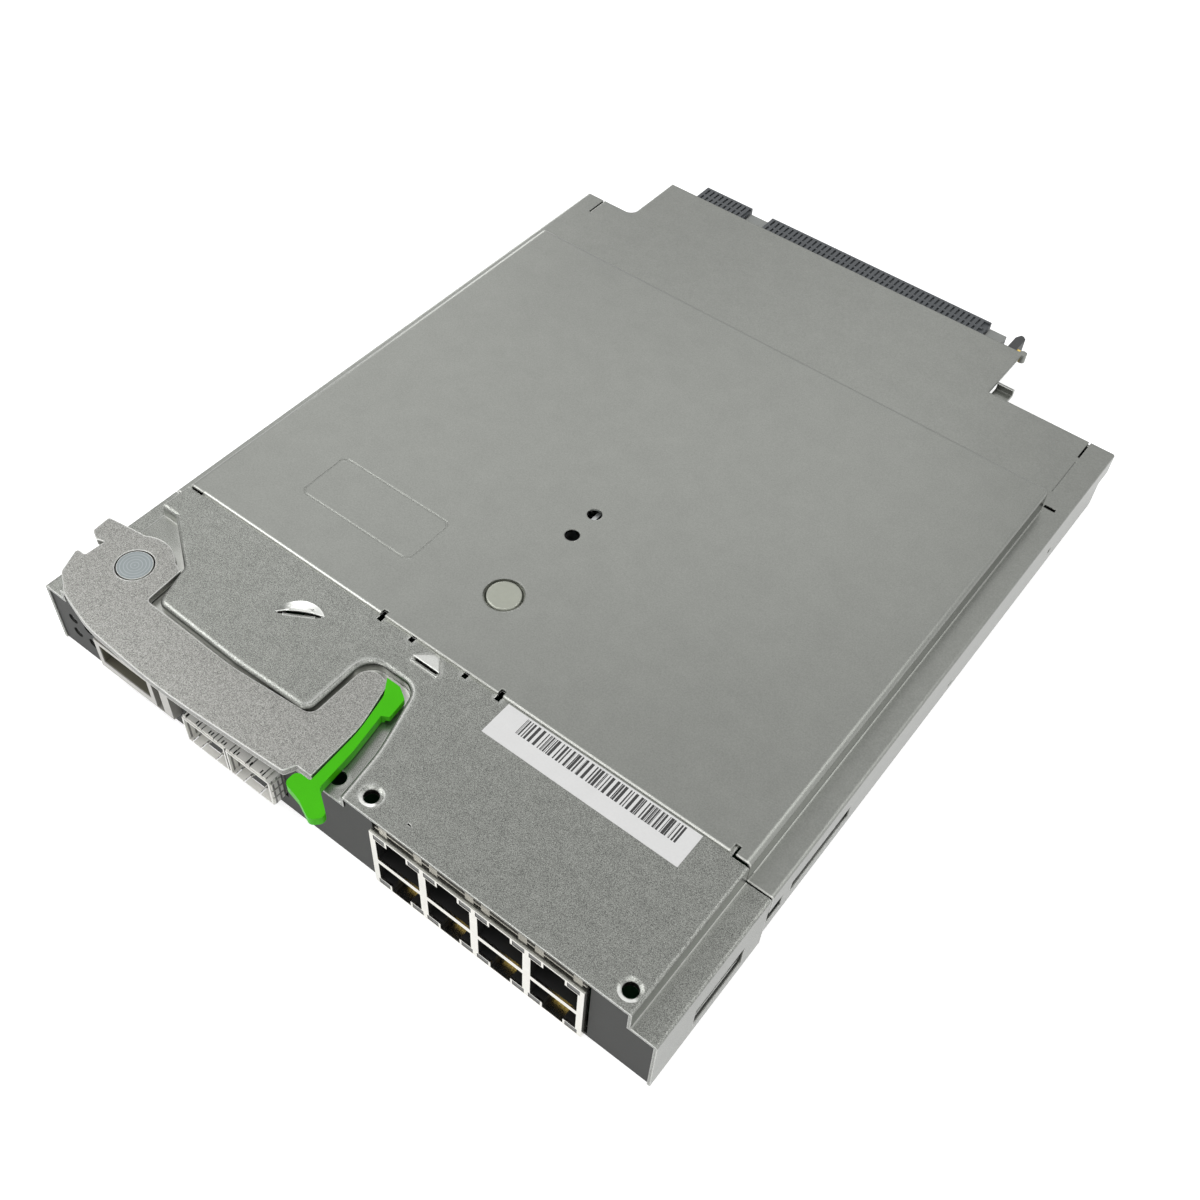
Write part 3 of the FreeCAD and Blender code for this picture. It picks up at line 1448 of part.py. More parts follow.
def rear_connectors():
    small_left = "(tongue_left + small_plug_offset)"
    small_ribs = int(size.small_plug_width / size.rib_pitch)
    ribbed_plug("connector_small", small_left, SMALL_PLUG_RIGHT, small_ribs)
    key_span = size.ground_gap + size.ground_width + size.key_width + size.key_gap
    spacer_span = size.right_spacer_width + size.spacer_gap
    large_width = size.tongue_width - size.large_plug_offset - key_span - spacer_span
    large_ribs = int(large_width / size.rib_pitch)
    ribbed_plug("connector_large", LARGE_PLUG_LEFT, LARGE_PLUG_RIGHT, large_ribs)
    spacer_along = (PLUG_START, f"{TONGUE_END} + spacer_proud")
    spacer_up = (BOARD_TOP, f"{PLUG_TOP} - spacer_drop")
    middle_across = (f"{SMALL_PLUG_RIGHT} + spacer_gap", f"{LARGE_PLUG_LEFT} - spacer_gap")
    right_across = (RIGHT_SPACER_LEFT, f"{RIGHT_SPACER_LEFT} + right_spacer_width")
    piece(
        "connector_spacers",
        box("spacer_middle", middle_across, spacer_along, spacer_up),
        box("spacer_right", right_across, spacer_along, spacer_up),
    )
    key_up = (f"{LEDGE} - sheet - key_high", f"{LEDGE} - sheet")
    piece("guide_key", plate("key", key_corners(), key_up))
    ground_low = f"({LEDGE} - sheet - key_high)"
    ground_along = (f"{TONGUE_END} - key_root", f"{TONGUE_END} + ground_proud")
    ground_across = (KEY_RIGHT, f"{KEY_RIGHT} + ground_width")
    piece("ground_contact", box("ground", ground_across, ground_along, (ground_low, PLUG_TOP)))


def key_corners():
    """The guide key seen from above, with its rear end tapered."""
    right = size.tongue_left + size.tongue_width - size.ground_gap - size.ground_width
    left = right - size.key_width
    end = size.depth + size.tongue_length
    front = end - size.key_root
    back = end + size.key_proud
    tip = size.key_tip
    return [
        (left, front, 0),
        (right, front, 0),
        (right, back - tip, 0),
        (right - tip, back, 0),
        (left + tip, back, 0),
        (left, back - 2 * tip, 0),
    ]


def board_parts():
    def on_board(name, centre_x, centre_y, length, width, high):
        return box(
            name,
            (f"({centre_x}) - {length} / 2", f"({centre_x}) + {length} / 2"),
            (f"({centre_y}) - {width} / 2", f"({centre_y}) + {width} / 2"),
            (BOARD_TOP, f"{BOARD_TOP} + {high}"),
        )

    piece("switch_chip", on_board("chip", "chip_x", "chip_y", "chip_side", "chip_side", "chip_thick"))
    sink_low = f"({BOARD_TOP} + chip_thick)"
    fin_low = f"({sink_low} + sink_base)"
    sink_left = "(chip_x - sink_length / 2)"
    along = ("chip_y - sink_width / 2", "chip_y + sink_width / 2")
    across = (sink_left, f"{sink_left} + sink_length")
    fins = [box("sink_plate", across, along, (sink_low, fin_low))]
    for number in range(SINK_FINS):
        start = f"({sink_left} + fin_thick + {number} * fin_pitch)"
        fins.append(box(f"fin_{number}", (start, f"{start} + fin_thick"), along, (fin_low, SINK_TOP)))
    piece("heat_sink", joined("sink", *fins))
    side = "small_chip_side"
    controller_x = "(chip_x - sink_length / 2 - small_chip_side)"
    piece("controller_chip", on_board("controller", controller_x, "chip_y", side, side, "small_chip_thick"))
    memory = [
        on_board(
            f"memory_{number}",
            controller_x,
            f"chip_y + small_chip_side + {number} * memory_pitch",
            "memory_length",
            "memory_width",
            "memory_thick",
        )
        for number in range(3)
    ]
    piece("memory_chips", *memory)
    interface_y = "(jack_depth - jack_proud + 1.5 * small_chip_side)"
    interface = []
    for column in (1, 3):
        x = f"{JACK_LEFT} + {column} * jack_pitch"
        interface.append(on_board(f"interface_{column}", x, interface_y, side, side, "small_chip_thick"))
    piece("interface_chips", *interface)
    coil_x = "(chip_x + sink_length / 2 + 2 * coil_side)"
    coils = []
    for number in range(3):
        y = f"chip_y + ({number} - 1) * coil_pitch"
        coils.append(on_board(f"coil_{number}", coil_x, y, "coil_side", "coil_side", "coil_high"))
    piece("power_inductors", *coils)


def label_and_springs():
    label_back = "(seam - label_setback)"
    piece(
        "label",
        box(
            "sticker",
            ("width - label_margin - label_length", "width - label_margin"),
            (f"{label_back} - label_width", label_back),
            (FRONT_TOP, f"{FRONT_TOP} + label_thick"),
        ),
    )
    inside = f"({TRAY_RIGHT} - sheet)"
    strips = [
        box(
            f"strip_{number}",
            (f"{inside} - spring_thick", inside),
            (f"{start} - spring_margin", f"{end} + spring_margin"),
            ("side_slot_low - spring_margin", "(side_slot_low + side_slot_high) / 2"),
        )
        for number, (start, end) in enumerate(side_slots()[::2])
    ]
    piece("side_springs", *strips)


base_tray()
front_cover()
rear_cover()
front_panel()
status_lights()
ejector_lever()
release_latch()
main_board()
jack_block()
module_cages()
stacking_port()
rear_connectors()
board_parts()
label_and_springs()
doc.recompute()

for feature in doc.Objects:
    if "Invalid" in feature.State or "Error" in feature.State:
        raise RuntimeError(f"{feature.Name} failed: {feature.State}")
os.makedirs("parts", exist_ok=True)
for part in pieces:
    if part.Shape.isNull() or not part.Shape.isValid():
        raise RuntimeError(f"{part.Label} has no valid shape")
for part in pieces:
    part.Shape.exportStep(f"parts/{part.Label}.step")
    print(part.Label, len(part.Shape.Solids), round(part.Shape.Volume, 1))
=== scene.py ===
import json
import math

import bmesh
import bpy
from mathutils import Matrix, Vector


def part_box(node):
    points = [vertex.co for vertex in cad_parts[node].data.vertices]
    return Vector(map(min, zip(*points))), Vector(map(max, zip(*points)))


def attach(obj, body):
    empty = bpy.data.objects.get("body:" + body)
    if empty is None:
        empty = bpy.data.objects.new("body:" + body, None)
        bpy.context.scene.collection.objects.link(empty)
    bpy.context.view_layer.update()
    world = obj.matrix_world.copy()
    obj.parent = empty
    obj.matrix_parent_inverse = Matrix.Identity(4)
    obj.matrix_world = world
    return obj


# Blade switch module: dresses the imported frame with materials, lights and a camera
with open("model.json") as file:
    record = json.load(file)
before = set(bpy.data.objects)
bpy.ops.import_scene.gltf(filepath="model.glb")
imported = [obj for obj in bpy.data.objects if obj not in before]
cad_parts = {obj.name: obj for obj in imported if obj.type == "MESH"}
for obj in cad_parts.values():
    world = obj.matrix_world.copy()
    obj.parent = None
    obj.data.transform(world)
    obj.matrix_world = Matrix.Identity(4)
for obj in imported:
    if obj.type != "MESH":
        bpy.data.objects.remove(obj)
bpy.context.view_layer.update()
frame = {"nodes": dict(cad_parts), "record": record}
scene = bpy.context.scene
scene.view_settings.view_transform = "Standard"

MM = 0.001

# Colours that several materials share
GALVANISED_GREY = (0.234, 0.240, 0.224)
PLAIN_STEEL = (0.230, 0.236, 0.220)
# Bare steel for worn edges with their painted highlight, for painted highlights and for turning rings
BARE_AND_HIGHLIT_STEEL = (0.82, 0.83, 0.80)
# Lighter steel, painted as bounce light in hollows and as a highlight on the rear cover's lip
PAINTED_LIGHT_STEEL = (0.42, 0.425, 0.40)
# Near black, painted as shade in gaps and slits
CREVICE_SHADE = (0.010, 0.010, 0.009)

# How far wear and painted highlight, painted shade and light, and rounding reach from an edge
EDGE_WIDTH = 0.35 * MM
LEVER_EDGE = 0.6 * MM
EDGE_ROUND = 0.6 * MM
CREVICE_REACH = 0.7 * MM
RECESS_REACH = 3.0 * MM
CAGE_REACH = 6.0 * MM
RELIEF_DEPTH = 0.1 * MM

# Shares of open surroundings between which an effect fades out
EDGE_FADE = (0.40, 0.75)
CREVICE_FADE = (0.28, 0.46)
RECESS_FADE = (0.35, 0.75)
CAGE_FADE = (0.10, 0.55)

# Places of the colour sockets on a mix node
MIX_COLORS = (6, 7)
MIX_RESULT = 2

# Detail of the fine noise, and rays of the shading effects
FINE_DETAIL = 3.0
SHADE_SAMPLES = 6
ROUND_SAMPLES = 4


def named(name):
    """A new empty node material with its output node."""
    material = bpy.data.materials.new(name)
    material.use_nodes = True
    material.node_tree.nodes.clear()
    output = material.node_tree.nodes.new("ShaderNodeOutputMaterial")
    return material, material.node_tree, output


def node(tree, kind, **values):
    """A node of a kind, with its properties and its unlinked inputs set by name."""
    made = tree.nodes.new("ShaderNode" + kind)
    for key, value in values.items():
        if hasattr(made, key):
            setattr(made, key, value)
        else:
            made.inputs[key.replace("_", " ").title()].default_value = value
    return made


def grain(tree, place, scale, detail=2.0):
    """A noise pattern whose size is given in features per metre."""
    noise = node(tree, "TexNoise", scale=scale, detail=detail)
    tree.links.new(place, noise.inputs["Vector"])
    return noise.outputs["Fac"]


def ramp(tree, value, low, high, start=0.3, end=0.7):
    """A colour between two others, picked by a pattern."""
    band = node(tree, "ValToRGB")
    stops = band.color_ramp.elements
    stops[0].position = start
    stops[0].color = (*low, 1)
    stops[1].position = end
    stops[1].color = (*high, 1)
    tree.links.new(value, band.inputs["Fac"])
    return band.outputs["Color"]


def spread(tree, value, low, high, start=0.0, end=1.0):
    """A number between two limits, picked by a pattern that runs from a start to an end."""
    span = node(tree, "MapRange", from_min=start, from_max=end, to_min=low, to_max=high)
    tree.links.new(value, span.inputs["Value"])
    return span.outputs["Result"]


def sums(tree, operation, first, second=0):
    """The result of a sum on two values, each a socket or a number."""
    made = node(tree, "Math", operation=operation)
    for socket, value in zip(made.inputs, (first, second)):
        if isinstance(value, (int, float)):
            socket.default_value = value
        else:
            tree.links.new(value, socket)
    return made.outputs["Value"]


def product(tree, first, *others):
    """Several values multiplied."""
    for value in others:
        first = sums(tree, "MULTIPLY", first, value)
    return first


def between(tree, value, low, high):
    """1 where a value lies between two limits, otherwise 0."""
    above = sums(tree, "GREATER_THAN", value, low)
    below = sums(tree, "LESS_THAN", value, high)
    return product(tree, above, below)


def repeats(tree, value, pitch, low, high):
    """1 in one share of each pitch along a value, otherwise 0."""
    share = sums(tree, "FRACT", sums(tree, "DIVIDE", value, pitch))
    return between(tree, share, low, high)


def vectors(tree, operation, first, second=(0, 0, 0)):
    """A node with the result of a sum on a vector socket and a fixed vector."""
    made = node(tree, "VectorMath", operation=operation)
    tree.links.new(first, made.inputs[0])
    made.inputs[1].default_value = second
    return made


def axes_of(tree, vector):
    """The X, Y and Z sockets of a vector."""
    split = node(tree, "SeparateXYZ")
    tree.links.new(vector, split.inputs["Vector"])
    return split.outputs["X"], split.outputs["Y"], split.outputs["Z"]


def facing_of(tree):
    """The X, Y and Z sockets of the surface's own normal."""
    return axes_of(tree, node(tree, "NewGeometry").outputs["Normal"])


def blended(tree, amount, first, second):
    """A colour that goes from the first to the second, each a socket or a colour."""
    mix = node(tree, "Mix", data_type="RGBA")
    tree.links.new(amount, mix.inputs["Factor"])
    for index, value in zip(MIX_COLORS, (first, second)):
        if isinstance(value, tuple):
            mix.inputs[index].default_value = (*value, 1)
        else:
            tree.links.new(value, mix.inputs[index])
    return mix.outputs[MIX_RESULT]


def tinted(color, factor):
    """A colour made lighter or darker."""
    return tuple(min(1.0, channel * factor) for channel in color)


def worn_and_highlit_edges(tree, width):
    """A number that rises from 0 on flat sheet to 1 on the outer edges, where wear and a painted
    highlight show.
    """
    inside = node(
        tree, "AmbientOcclusion", inside=True, only_local=True, samples=SHADE_SAMPLES, distance=width
    )
    return spread(tree, inside.outputs["AO"], 1.0, 0.0, *EDGE_FADE)


def crevices(tree, reach, fade):
    """A number that rises from 0 on open sheet to 1 deep in gaps and slits."""
    outside = node(tree, "AmbientOcclusion", samples=SHADE_SAMPLES, distance=reach)
    return spread(tree, outside.outputs["AO"], 1.0, 0.0, *fade)


def patterns(tree, place, fine, coarse, fine_share):
    """A fine noise pattern, and its blend with a coarse one."""
    small = grain(tree, place, fine, FINE_DETAIL)
    large = grain(tree, place, coarse)
    blend = node(tree, "Mix", data_type="FLOAT")
    blend.inputs["Factor"].default_value = fine_share
    tree.links.new(large, blend.inputs["A"])
    tree.links.new(small, blend.inputs["B"])
    return small, blend.outputs["Result"]


def wear_and_painted_light(tree, colors, edge, edge_width, recess):
    """Colours with bare steel and a painted highlight on outer edges, painted bounce light in hollows and
    painted shade in the gaps.
    """
    # Outer edges take bare worn steel and a painted highlight
    if edge:
        colors = blended(tree, worn_and_highlit_edges(tree, edge_width), colors, edge)
    # Hollows take painted bounce light
    if recess:
        colors = blended(tree, crevices(tree, RECESS_REACH, RECESS_FADE), colors, recess)
    # Gaps and slits take painted shade
    if edge:
        colors = blended(tree, crevices(tree, CREVICE_REACH, CREVICE_FADE), colors, CREVICE_SHADE)
    return colors


def relief(tree, height, strength, rounded):
    """A normal with fine bumps and, where asked, softly rounded edges."""
    bumps = node(tree, "Bump", strength=strength, distance=RELIEF_DEPTH)
    tree.links.new(height, bumps.inputs["Height"])
    if rounded:
        rounding = node(tree, "Bevel", samples=ROUND_SAMPLES, radius=EDGE_ROUND)
        tree.links.new(rounding.outputs["Normal"], bumps.inputs["Normal"])
    return bumps.outputs["Normal"]


def surface(
    name,
    color,
    metallic=0.0,
    roughness=(0.45, 0.6),
    contrast=0.1,
    fine=2000,
    coarse=180,
    fine_share=0.5,
    bump=0.1,
    specular=0.5,
    edge=None,
    edge_width=EDGE_WIDTH,
    recess=None,
    paint=None,
):
    """A material with a fine and a coarse pattern in its colour, roughness and relief.

    An edge colour marks bare outer edges with wear and a painted highlight, and with it painted
    shade darkens the gaps; a recess colour paints bounce light into hollows, and paint may
    change the colours by place or facing.
    """
    material, tree, output = named(name)
    place = node(tree, "TexCoord").outputs["Object"]
    small, pattern = patterns(tree, place, fine, coarse, fine_share)
    colors = ramp(tree, pattern, tinted(color, 1 - contrast), tinted(color, 1 + contrast))
    colors = wear_and_painted_light(tree, colors, edge, edge_width, recess)
    if paint:
        colors = paint(tree, place, colors)
    shader = node(tree, "BsdfPrincipled", metallic=metallic)
    shader.inputs["Specular IOR Level"].default_value = specular
    tree.links.new(colors, shader.inputs["Base Color"])
    tree.links.new(spread(tree, pattern, *roughness), shader.inputs["Roughness"])
    tree.links.new(relief(tree, small, bump, bool(edge)), shader.inputs["Normal"])
    tree.links.new(shader.outputs["BSDF"], output.inputs["Surface"])
    return material


# Label: shares of its width and depth that the bars fill, and the noise that spaces them
BARS_ACROSS = (0.11, 0.93)
BARS_ALONG = (0.46, 0.95)
BARS_SCALE = 75
BARS_DETAIL = 1.0
BARS_CUT = 0.5
INK = (0.02, 0.02, 0.02)


def label_print(tree, place, paper):
    """A row of plain upright bars on the rear half of the label."""
    low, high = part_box("label")
    x, y, _ = axes_of(tree, place)
    across = spread(tree, x, 0, 1, low.x, high.x)
    along = spread(tree, y, 0, 1, low.y, high.y)
    stripes = node(tree, "TexNoise", noise_dimensions="1D", scale=BARS_SCALE, detail=BARS_DETAIL)
    tree.links.new(across, stripes.inputs["W"])
    bars = sums(tree, "GREATER_THAN", stripes.outputs["Fac"], BARS_CUT)
    field = product(tree, between(tree, across, *BARS_ACROSS), between(tree, along, *BARS_ALONG))
    return blended(tree, product(tree, bars, field), paper, INK)


# Stacking port: painted shade in its pocket and the lines on its insert
POCKET_SLACK = 0.1 * MM
POCKET_LIP = 0.3 * MM
POCKET_SHADE_COLOR = (0.20, 0.19, 0.15)
LINE_PITCH = 3.8 * MM
LINE_SHARE = (0.02, 0.12)
LINE_COLOR = (0.8, 0.79, 0.72)


def pocket_shade(tree, place, metal):
    """Painted dark shade inside the stacking port's pocket."""
    low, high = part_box("stack_insert")
    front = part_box("stack_shell")[0].y
    x, y, z = axes_of(tree, place)
    across = between(tree, x, low.x - POCKET_SLACK, high.x + POCKET_SLACK)
    up = between(tree, z, low.z - POCKET_SLACK, high.z + POCKET_SLACK)
    behind = sums(tree, "GREATER_THAN", y, front + POCKET_LIP)
    return blended(tree, product(tree, across, up, behind), metal, POCKET_SHADE_COLOR)


def pocket_lines(tree, place, plastic):
    """Thin light upright lines on the stacking port's insert."""
    x, _, _ = axes_of(tree, place)
    from_left = sums(tree, "SUBTRACT", x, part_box("stack_insert")[0].x)
    return blended(tree, repeats(tree, from_left, LINE_PITCH, *LINE_SHARE), plastic, LINE_COLOR)


# Front cover: upward parts of a normal, and the tilts over which a painted highlight brightens the steel
RAISED_FACING = 0.8
LEVEL_FACING = 0.97
SLOPE_TILT = (0.08, 0.42)
RIM_TILT = (0.06, 0.30)
RIM_STRENGTH = 0.6
RIM_ROUND = 1.7 * MM
RIM_SAMPLES = 2
LOOP_SPAN = 12.0 * MM


def loop_rims(tree, place, upward):
    """A number for the painted highlight, rising on level steel next to the upright walls beside the
    latch.
    """
    low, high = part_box("release_latch")
    x, _, _ = axes_of(tree, place)
    beside = between(tree, x, low.x - LOOP_SPAN, high.x + LOOP_SPAN)
    level = sums(tree, "GREATER_THAN", upward, LEVEL_FACING)
    rounding = node(tree, "Bevel", samples=RIM_SAMPLES, radius=RIM_ROUND)
    tilt, _, _ = axes_of(tree, rounding.outputs["Normal"])
    near = spread(tree, sums(tree, "ABSOLUTE", tilt), 0.0, RIM_STRENGTH, *RIM_TILT)
    return product(tree, level, near, beside)


def painted_highlights(tree, place, metal):
    """Painted highlights on slopes to the rear and on the rims beside the latch."""
    _, rearward, upward = facing_of(tree)
    raised = sums(tree, "GREATER_THAN", upward, RAISED_FACING)
    slopes = product(tree, raised, spread(tree, rearward, 0.0, 1.0, *SLOPE_TILT))
    bright = sums(tree, "MAXIMUM", slopes, loop_rims(tree, place, upward))
    return blended(tree, bright, metal, BARE_AND_HIGHLIT_STEEL)


# Rear cover: a painted highlight along its front edge
LIP_WIDTH = 0.45 * MM


def painted_lip_highlight(tree, place, metal):
    """A painted highlight along the rear cover's front edge."""
    _, y, _ = axes_of(tree, place)
    lip = sums(tree, "LESS_THAN", y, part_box("rear_cover")[0].y + LIP_WIDTH)
    return blended(tree, lip, metal, PAINTED_LIGHT_STEEL)


# Pluggable-module cages: painted shade in slits in pairs on top, in ribs on the sides and inside
SLIT_PITCH = 4.4 * MM
FIRST_SLIT = (0.10, 0.19)
SECOND_SLIT = (0.30, 0.39)
SLIT_FRONT = 0.7 * MM
SLIT_BACK = 1.7 * MM
CAGE_TOP = 0.3 * MM
SIDE_FACING = 0.5
RIB_PITCH = 1.5 * MM
RIB_SHARE = (0.0, 0.35)
RIB_STRENGTH = 0.75
INSIDE_STRENGTH = 0.85
CAGE_SHADOW = (0.03, 0.03, 0.028)


def cage_slits(tree, place):
    """1 in pairs of short slits along the front of the cages' tops, otherwise 0."""
    low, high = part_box("sfp_cage_left")
    x, y, z = axes_of(tree, place)
    first = repeats(tree, x, SLIT_PITCH, *FIRST_SLIT)
    second = repeats(tree, x, SLIT_PITCH, *SECOND_SLIT)
    band = between(tree, y, low.y + SLIT_FRONT, low.y + SLIT_BACK)
    top = sums(tree, "GREATER_THAN", z, high.z - CAGE_TOP)
    return product(tree, sums(tree, "ADD", first, second), band, top)


def cage_ribs(tree, place):
    """1 in upright ribs on the cages' sides, otherwise 0."""
    _, y, _ = axes_of(tree, place)
    sideward, _, _ = facing_of(tree)
    sideways = sums(tree, "GREATER_THAN", sums(tree, "ABSOLUTE", sideward), SIDE_FACING)
    return product(tree, sideways, repeats(tree, y, RIB_PITCH, *RIB_SHARE))


def cage_marks(tree, place, metal):
    """Pairs of slits on the cages' tops and ribs on their sides, painted dark as shade, and painted shade
    inside the cages.
    """
    ribs = product(tree, cage_ribs(tree, place), RIB_STRENGTH)
    marks = sums(tree, "MAXIMUM", cage_slits(tree, place), ribs)
    # Painted shade inside the cages, deeper where less of the surroundings is open
    dim = product(tree, crevices(tree, CAGE_REACH, CAGE_FADE), INSIDE_STRENGTH)
    return blended(tree, sums(tree, "MAXIMUM", marks, dim), metal, CAGE_SHADOW)


# Rivet: turning rings and a painted highlight on its rim
RING_PITCH = 0.9 * MM
RING_SHARE = (0.0, 0.3)
RING_STRENGTH = 0.10
RIVET_HIGHLIGHT = 0.45 * MM
LEVEL_PLANE = (1, 1, 0)


def turned_rings(tree, place, metal):
    """Fine turning rings and a painted highlight on the rim of the lever's rivet."""
    low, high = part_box("lever_rivet")
    centred = vectors(tree, "SUBTRACT", place, (low + high) / 2).outputs["Vector"]
    flat = vectors(tree, "MULTIPLY", centred, LEVEL_PLANE).outputs["Vector"]
    reach = vectors(tree, "LENGTH", flat).outputs["Value"]
    radius = (high.x - low.x) / 2
    rings = product(tree, repeats(tree, reach, RING_PITCH, *RING_SHARE), RING_STRENGTH)
    # Painted highlight on the rivet's rim
    rim = sums(tree, "GREATER_THAN", reach, radius - RIVET_HIGHLIGHT)
    return blended(tree, rim, blended(tree, rings, metal, BARE_AND_HIGHLIT_STEEL), BARE_AND_HIGHLIT_STEEL)


# Finishes that several materials share
galvanised = dict(
    metallic=1.0, roughness=(0.26, 0.32), contrast=0.12, fine=2600, coarse=160, fine_share=0.8
)
smooth = dict(metallic=1.0, roughness=(0.28, 0.36), contrast=0.05, fine=900, coarse=120)
moulded = dict(roughness=(0.45, 0.6), contrast=0.15, fine=2400, coarse=200)
port_moulded = dict(roughness=(0.4, 0.55), contrast=0.20, fine=2400, coarse=200)
rolled = dict(fine=1600, coarse=160)
lens = dict(fine=900, coarse=150)

# Materials of the frame's slots
finishes = {
    "steel": surface("galvanised_steel", GALVANISED_GREY, edge=BARE_AND_HIGHLIT_STEEL, **galvanised),
    "lever_steel": surface(
        "blasted_steel",
        (0.244, 0.244, 0.230),
        metallic=0.9,
        roughness=(0.34, 0.42),
        contrast=0.66,
        fine=4500,
        coarse=300,
        fine_share=0.95,
        edge=BARE_AND_HIGHLIT_STEEL,
        edge_width=LEVER_EDGE,
    ),
    "bright_steel": surface("smooth_steel", (0.30, 0.329, 0.335), edge=BARE_AND_HIGHLIT_STEEL, **smooth),
    "panel_paint": surface(
        "dark_paint",
        (0.023, 0.024, 0.022),
        roughness=(0.45, 0.60),
        contrast=0.30,
        fine=2600,
        coarse=150,
        fine_share=0.7,
        bump=0.2,
        specular=0.25,
    ),
    "latch_green": surface(
        "green_plastic",
        (0.062, 0.490, 0.006),
        roughness=(0.35, 0.46),
        contrast=0.06,
        fine=3000,
        coarse=200,
        fine_share=0.6,
        bump=0.08,
        specular=0.1,
    ),
    "board_green": surface(
        "solder_mask", (0.02, 0.13, 0.05), roughness=(0.30, 0.45), contrast=0.25, fine=900, coarse=80
    ),
    "support_nylon": surface("nylon", (0.66, 0.65, 0.60), contrast=0.05, fine=1200, coarse=150),
    "shield_tin": surface(
        "bright_tin",
        (0.68, 0.67, 0.625),
        metallic=1.0,
        roughness=(0.12, 0.20),
        contrast=0.05,
        bump=0.03,
        **rolled,
    ),
    "port_black": surface("port_plastic", (0.010, 0.010, 0.010), specular=0.3, **port_moulded),
    "light_lens": surface("light_lens", (0.035, 0.036, 0.032), roughness=(0.2, 0.35), **lens),
    "status_lens": surface(
        "smoked_lens", (0.03, 0.031, 0.03), roughness=(0.2, 0.3), contrast=0.15, **lens
    ),
    "contact_gold": surface(
        "gold_plate",
        (0.80, 0.58, 0.16),
        metallic=1.0,
        roughness=(0.25, 0.40),
        contrast=0.12,
        fine=1500,
        coarse=200,
        bump=0.05,
    ),
    "plug_slate": surface("slate_plastic", (0.062, 0.068, 0.074), **moulded),
    "spacer_grey": surface("grey_plastic", (0.26, 0.27, 0.26), contrast=0.08),
    "chip_black": surface(
        "chip_plastic", (0.020, 0.020, 0.021), roughness=(0.5, 0.65), contrast=0.20, fine=2600, coarse=200
    ),
    "sink_aluminium": surface(
        "aluminium",
        (0.62, 0.63, 0.64),
        metallic=0.9,
        roughness=(0.35, 0.5),
        contrast=0.06,
        fine=1400,
        coarse=150,
    ),
    "label_white": surface(
        "label_paper",
        (0.72, 0.72, 0.715),
        roughness=(0.5, 0.65),
        contrast=0.03,
        fine=1500,
        coarse=150,
        paint=label_print,
    ),
}

# Pieces that differ from the rest of their slot
cage_tin = surface(
    "cage_tin",
    (0.84, 0.83, 0.79),
    metallic=0.25,
    roughness=(0.30, 0.42),
    contrast=0.06,
    paint=cage_marks,
    **rolled,
)
own_finishes = {
    "front_cover": surface(
        "grained_steel",
        (0.222, 0.228, 0.212),
        metallic=1.0,
        roughness=(0.26, 0.34),
        contrast=0.75,
        fine=5000,
        coarse=300,
        fine_share=0.93,
        edge=BARE_AND_HIGHLIT_STEEL,
        recess=PAINTED_LIGHT_STEEL,
        paint=painted_highlights,
    ),
    "rear_cover": surface("plain_steel", PLAIN_STEEL, edge=PLAIN_STEEL, paint=painted_lip_highlight, **galvanised),
    "cover_stud": surface("stud_steel", (0.298, 0.308, 0.266), edge=BARE_AND_HIGHLIT_STEEL, **smooth),
    # Side springs painted near black as painted shade in the side slots
    "side_springs": surface("shaded_spring_steel", (0.020, 0.020, 0.019), roughness=(0.3, 0.4), **rolled),
    "guide_key": surface("key_plastic", (0.035, 0.037, 0.038), **moulded),
    "lever_rivet": surface("turned_steel", (0.220, 0.245, 0.251), paint=turned_rings, **smooth),
    "jack_springs": surface(
        "dull_spring_steel", (0.42, 0.41, 0.38), metallic=1.0, roughness=(0.35, 0.45), **rolled
    ),
    "sfp_cage_left": cage_tin,
    "sfp_cage_right": cage_tin,
    "cage_fingers": cage_tin,
    "stack_insert": surface("port_olive", (0.36, 0.345, 0.27), paint=pocket_lines, **port_moulded),
    "stack_shell": surface(
        "port_tin",
        (0.44, 0.43, 0.40),
        metallic=0.4,
        roughness=(0.25, 0.35),
        contrast=0.05,
        paint=pocket_shade,
        **rolled,
    ),
}

# Each solid takes its own finish, or else that of its slot
for part in frame["record"]["subparts"]:
    name = part["node"]
    solid = frame["nodes"][name]
    solid.data.materials.clear()
    solid.data.materials.append(own_finishes.get(name) or finishes[part["material_slot"]])


def piece(name, shape, material):
    """An object made from a finished shape, with one material."""
    mesh = bpy.data.meshes.new(name)
    shape.to_mesh(mesh)
    shape.free()
    mesh.materials.append(material)
    made = bpy.data.objects.new(name, mesh)
    scene.collection.objects.link(made)
    return made


# Soft bends where the covers' steps meet the side ledges
LEDGE_TOP = 20.95 * MM
LEDGE_WIDTH = 7.0 * MM
BEND_ROUND = 1.3 * MM
BEND_PARTS = 8
BEND_CLEAR = 0.02 * MM
BEND_SHARP = math.radians(30)
FRONT_SETBACK = 0.2 * MM
SEAM_GAP = 0.5 * MM
SEAM_SLOT = 2.5 * MM
PLATEAU_BACK = 32.6 * MM
PLATEAU_CORNER = 1.5 * MM
CASE_DEPTH = 225.0 * MM

bend_finish = {**galvanised, "roughness": (0.30, 0.38)}
bend_steel = surface("bend_steel", GALVANISED_GREY, **bend_finish)


def bend_outline():
    """Points of a hollow round on the right side, as distances across and up."""
    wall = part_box("base_tray")[1].x - LEDGE_WIDTH
    points = []
    for turn in range(BEND_PARTS + 1):
        angle = math.pi / 2 * turn / BEND_PARTS
        across = wall + BEND_CLEAR + BEND_ROUND * (1 - math.cos(angle))
        up = LEDGE_TOP + BEND_CLEAR + BEND_ROUND * (1 - math.sin(angle))
        points.append((across, up))
    points.append((wall + BEND_CLEAR, LEDGE_TOP + BEND_CLEAR))
    return points


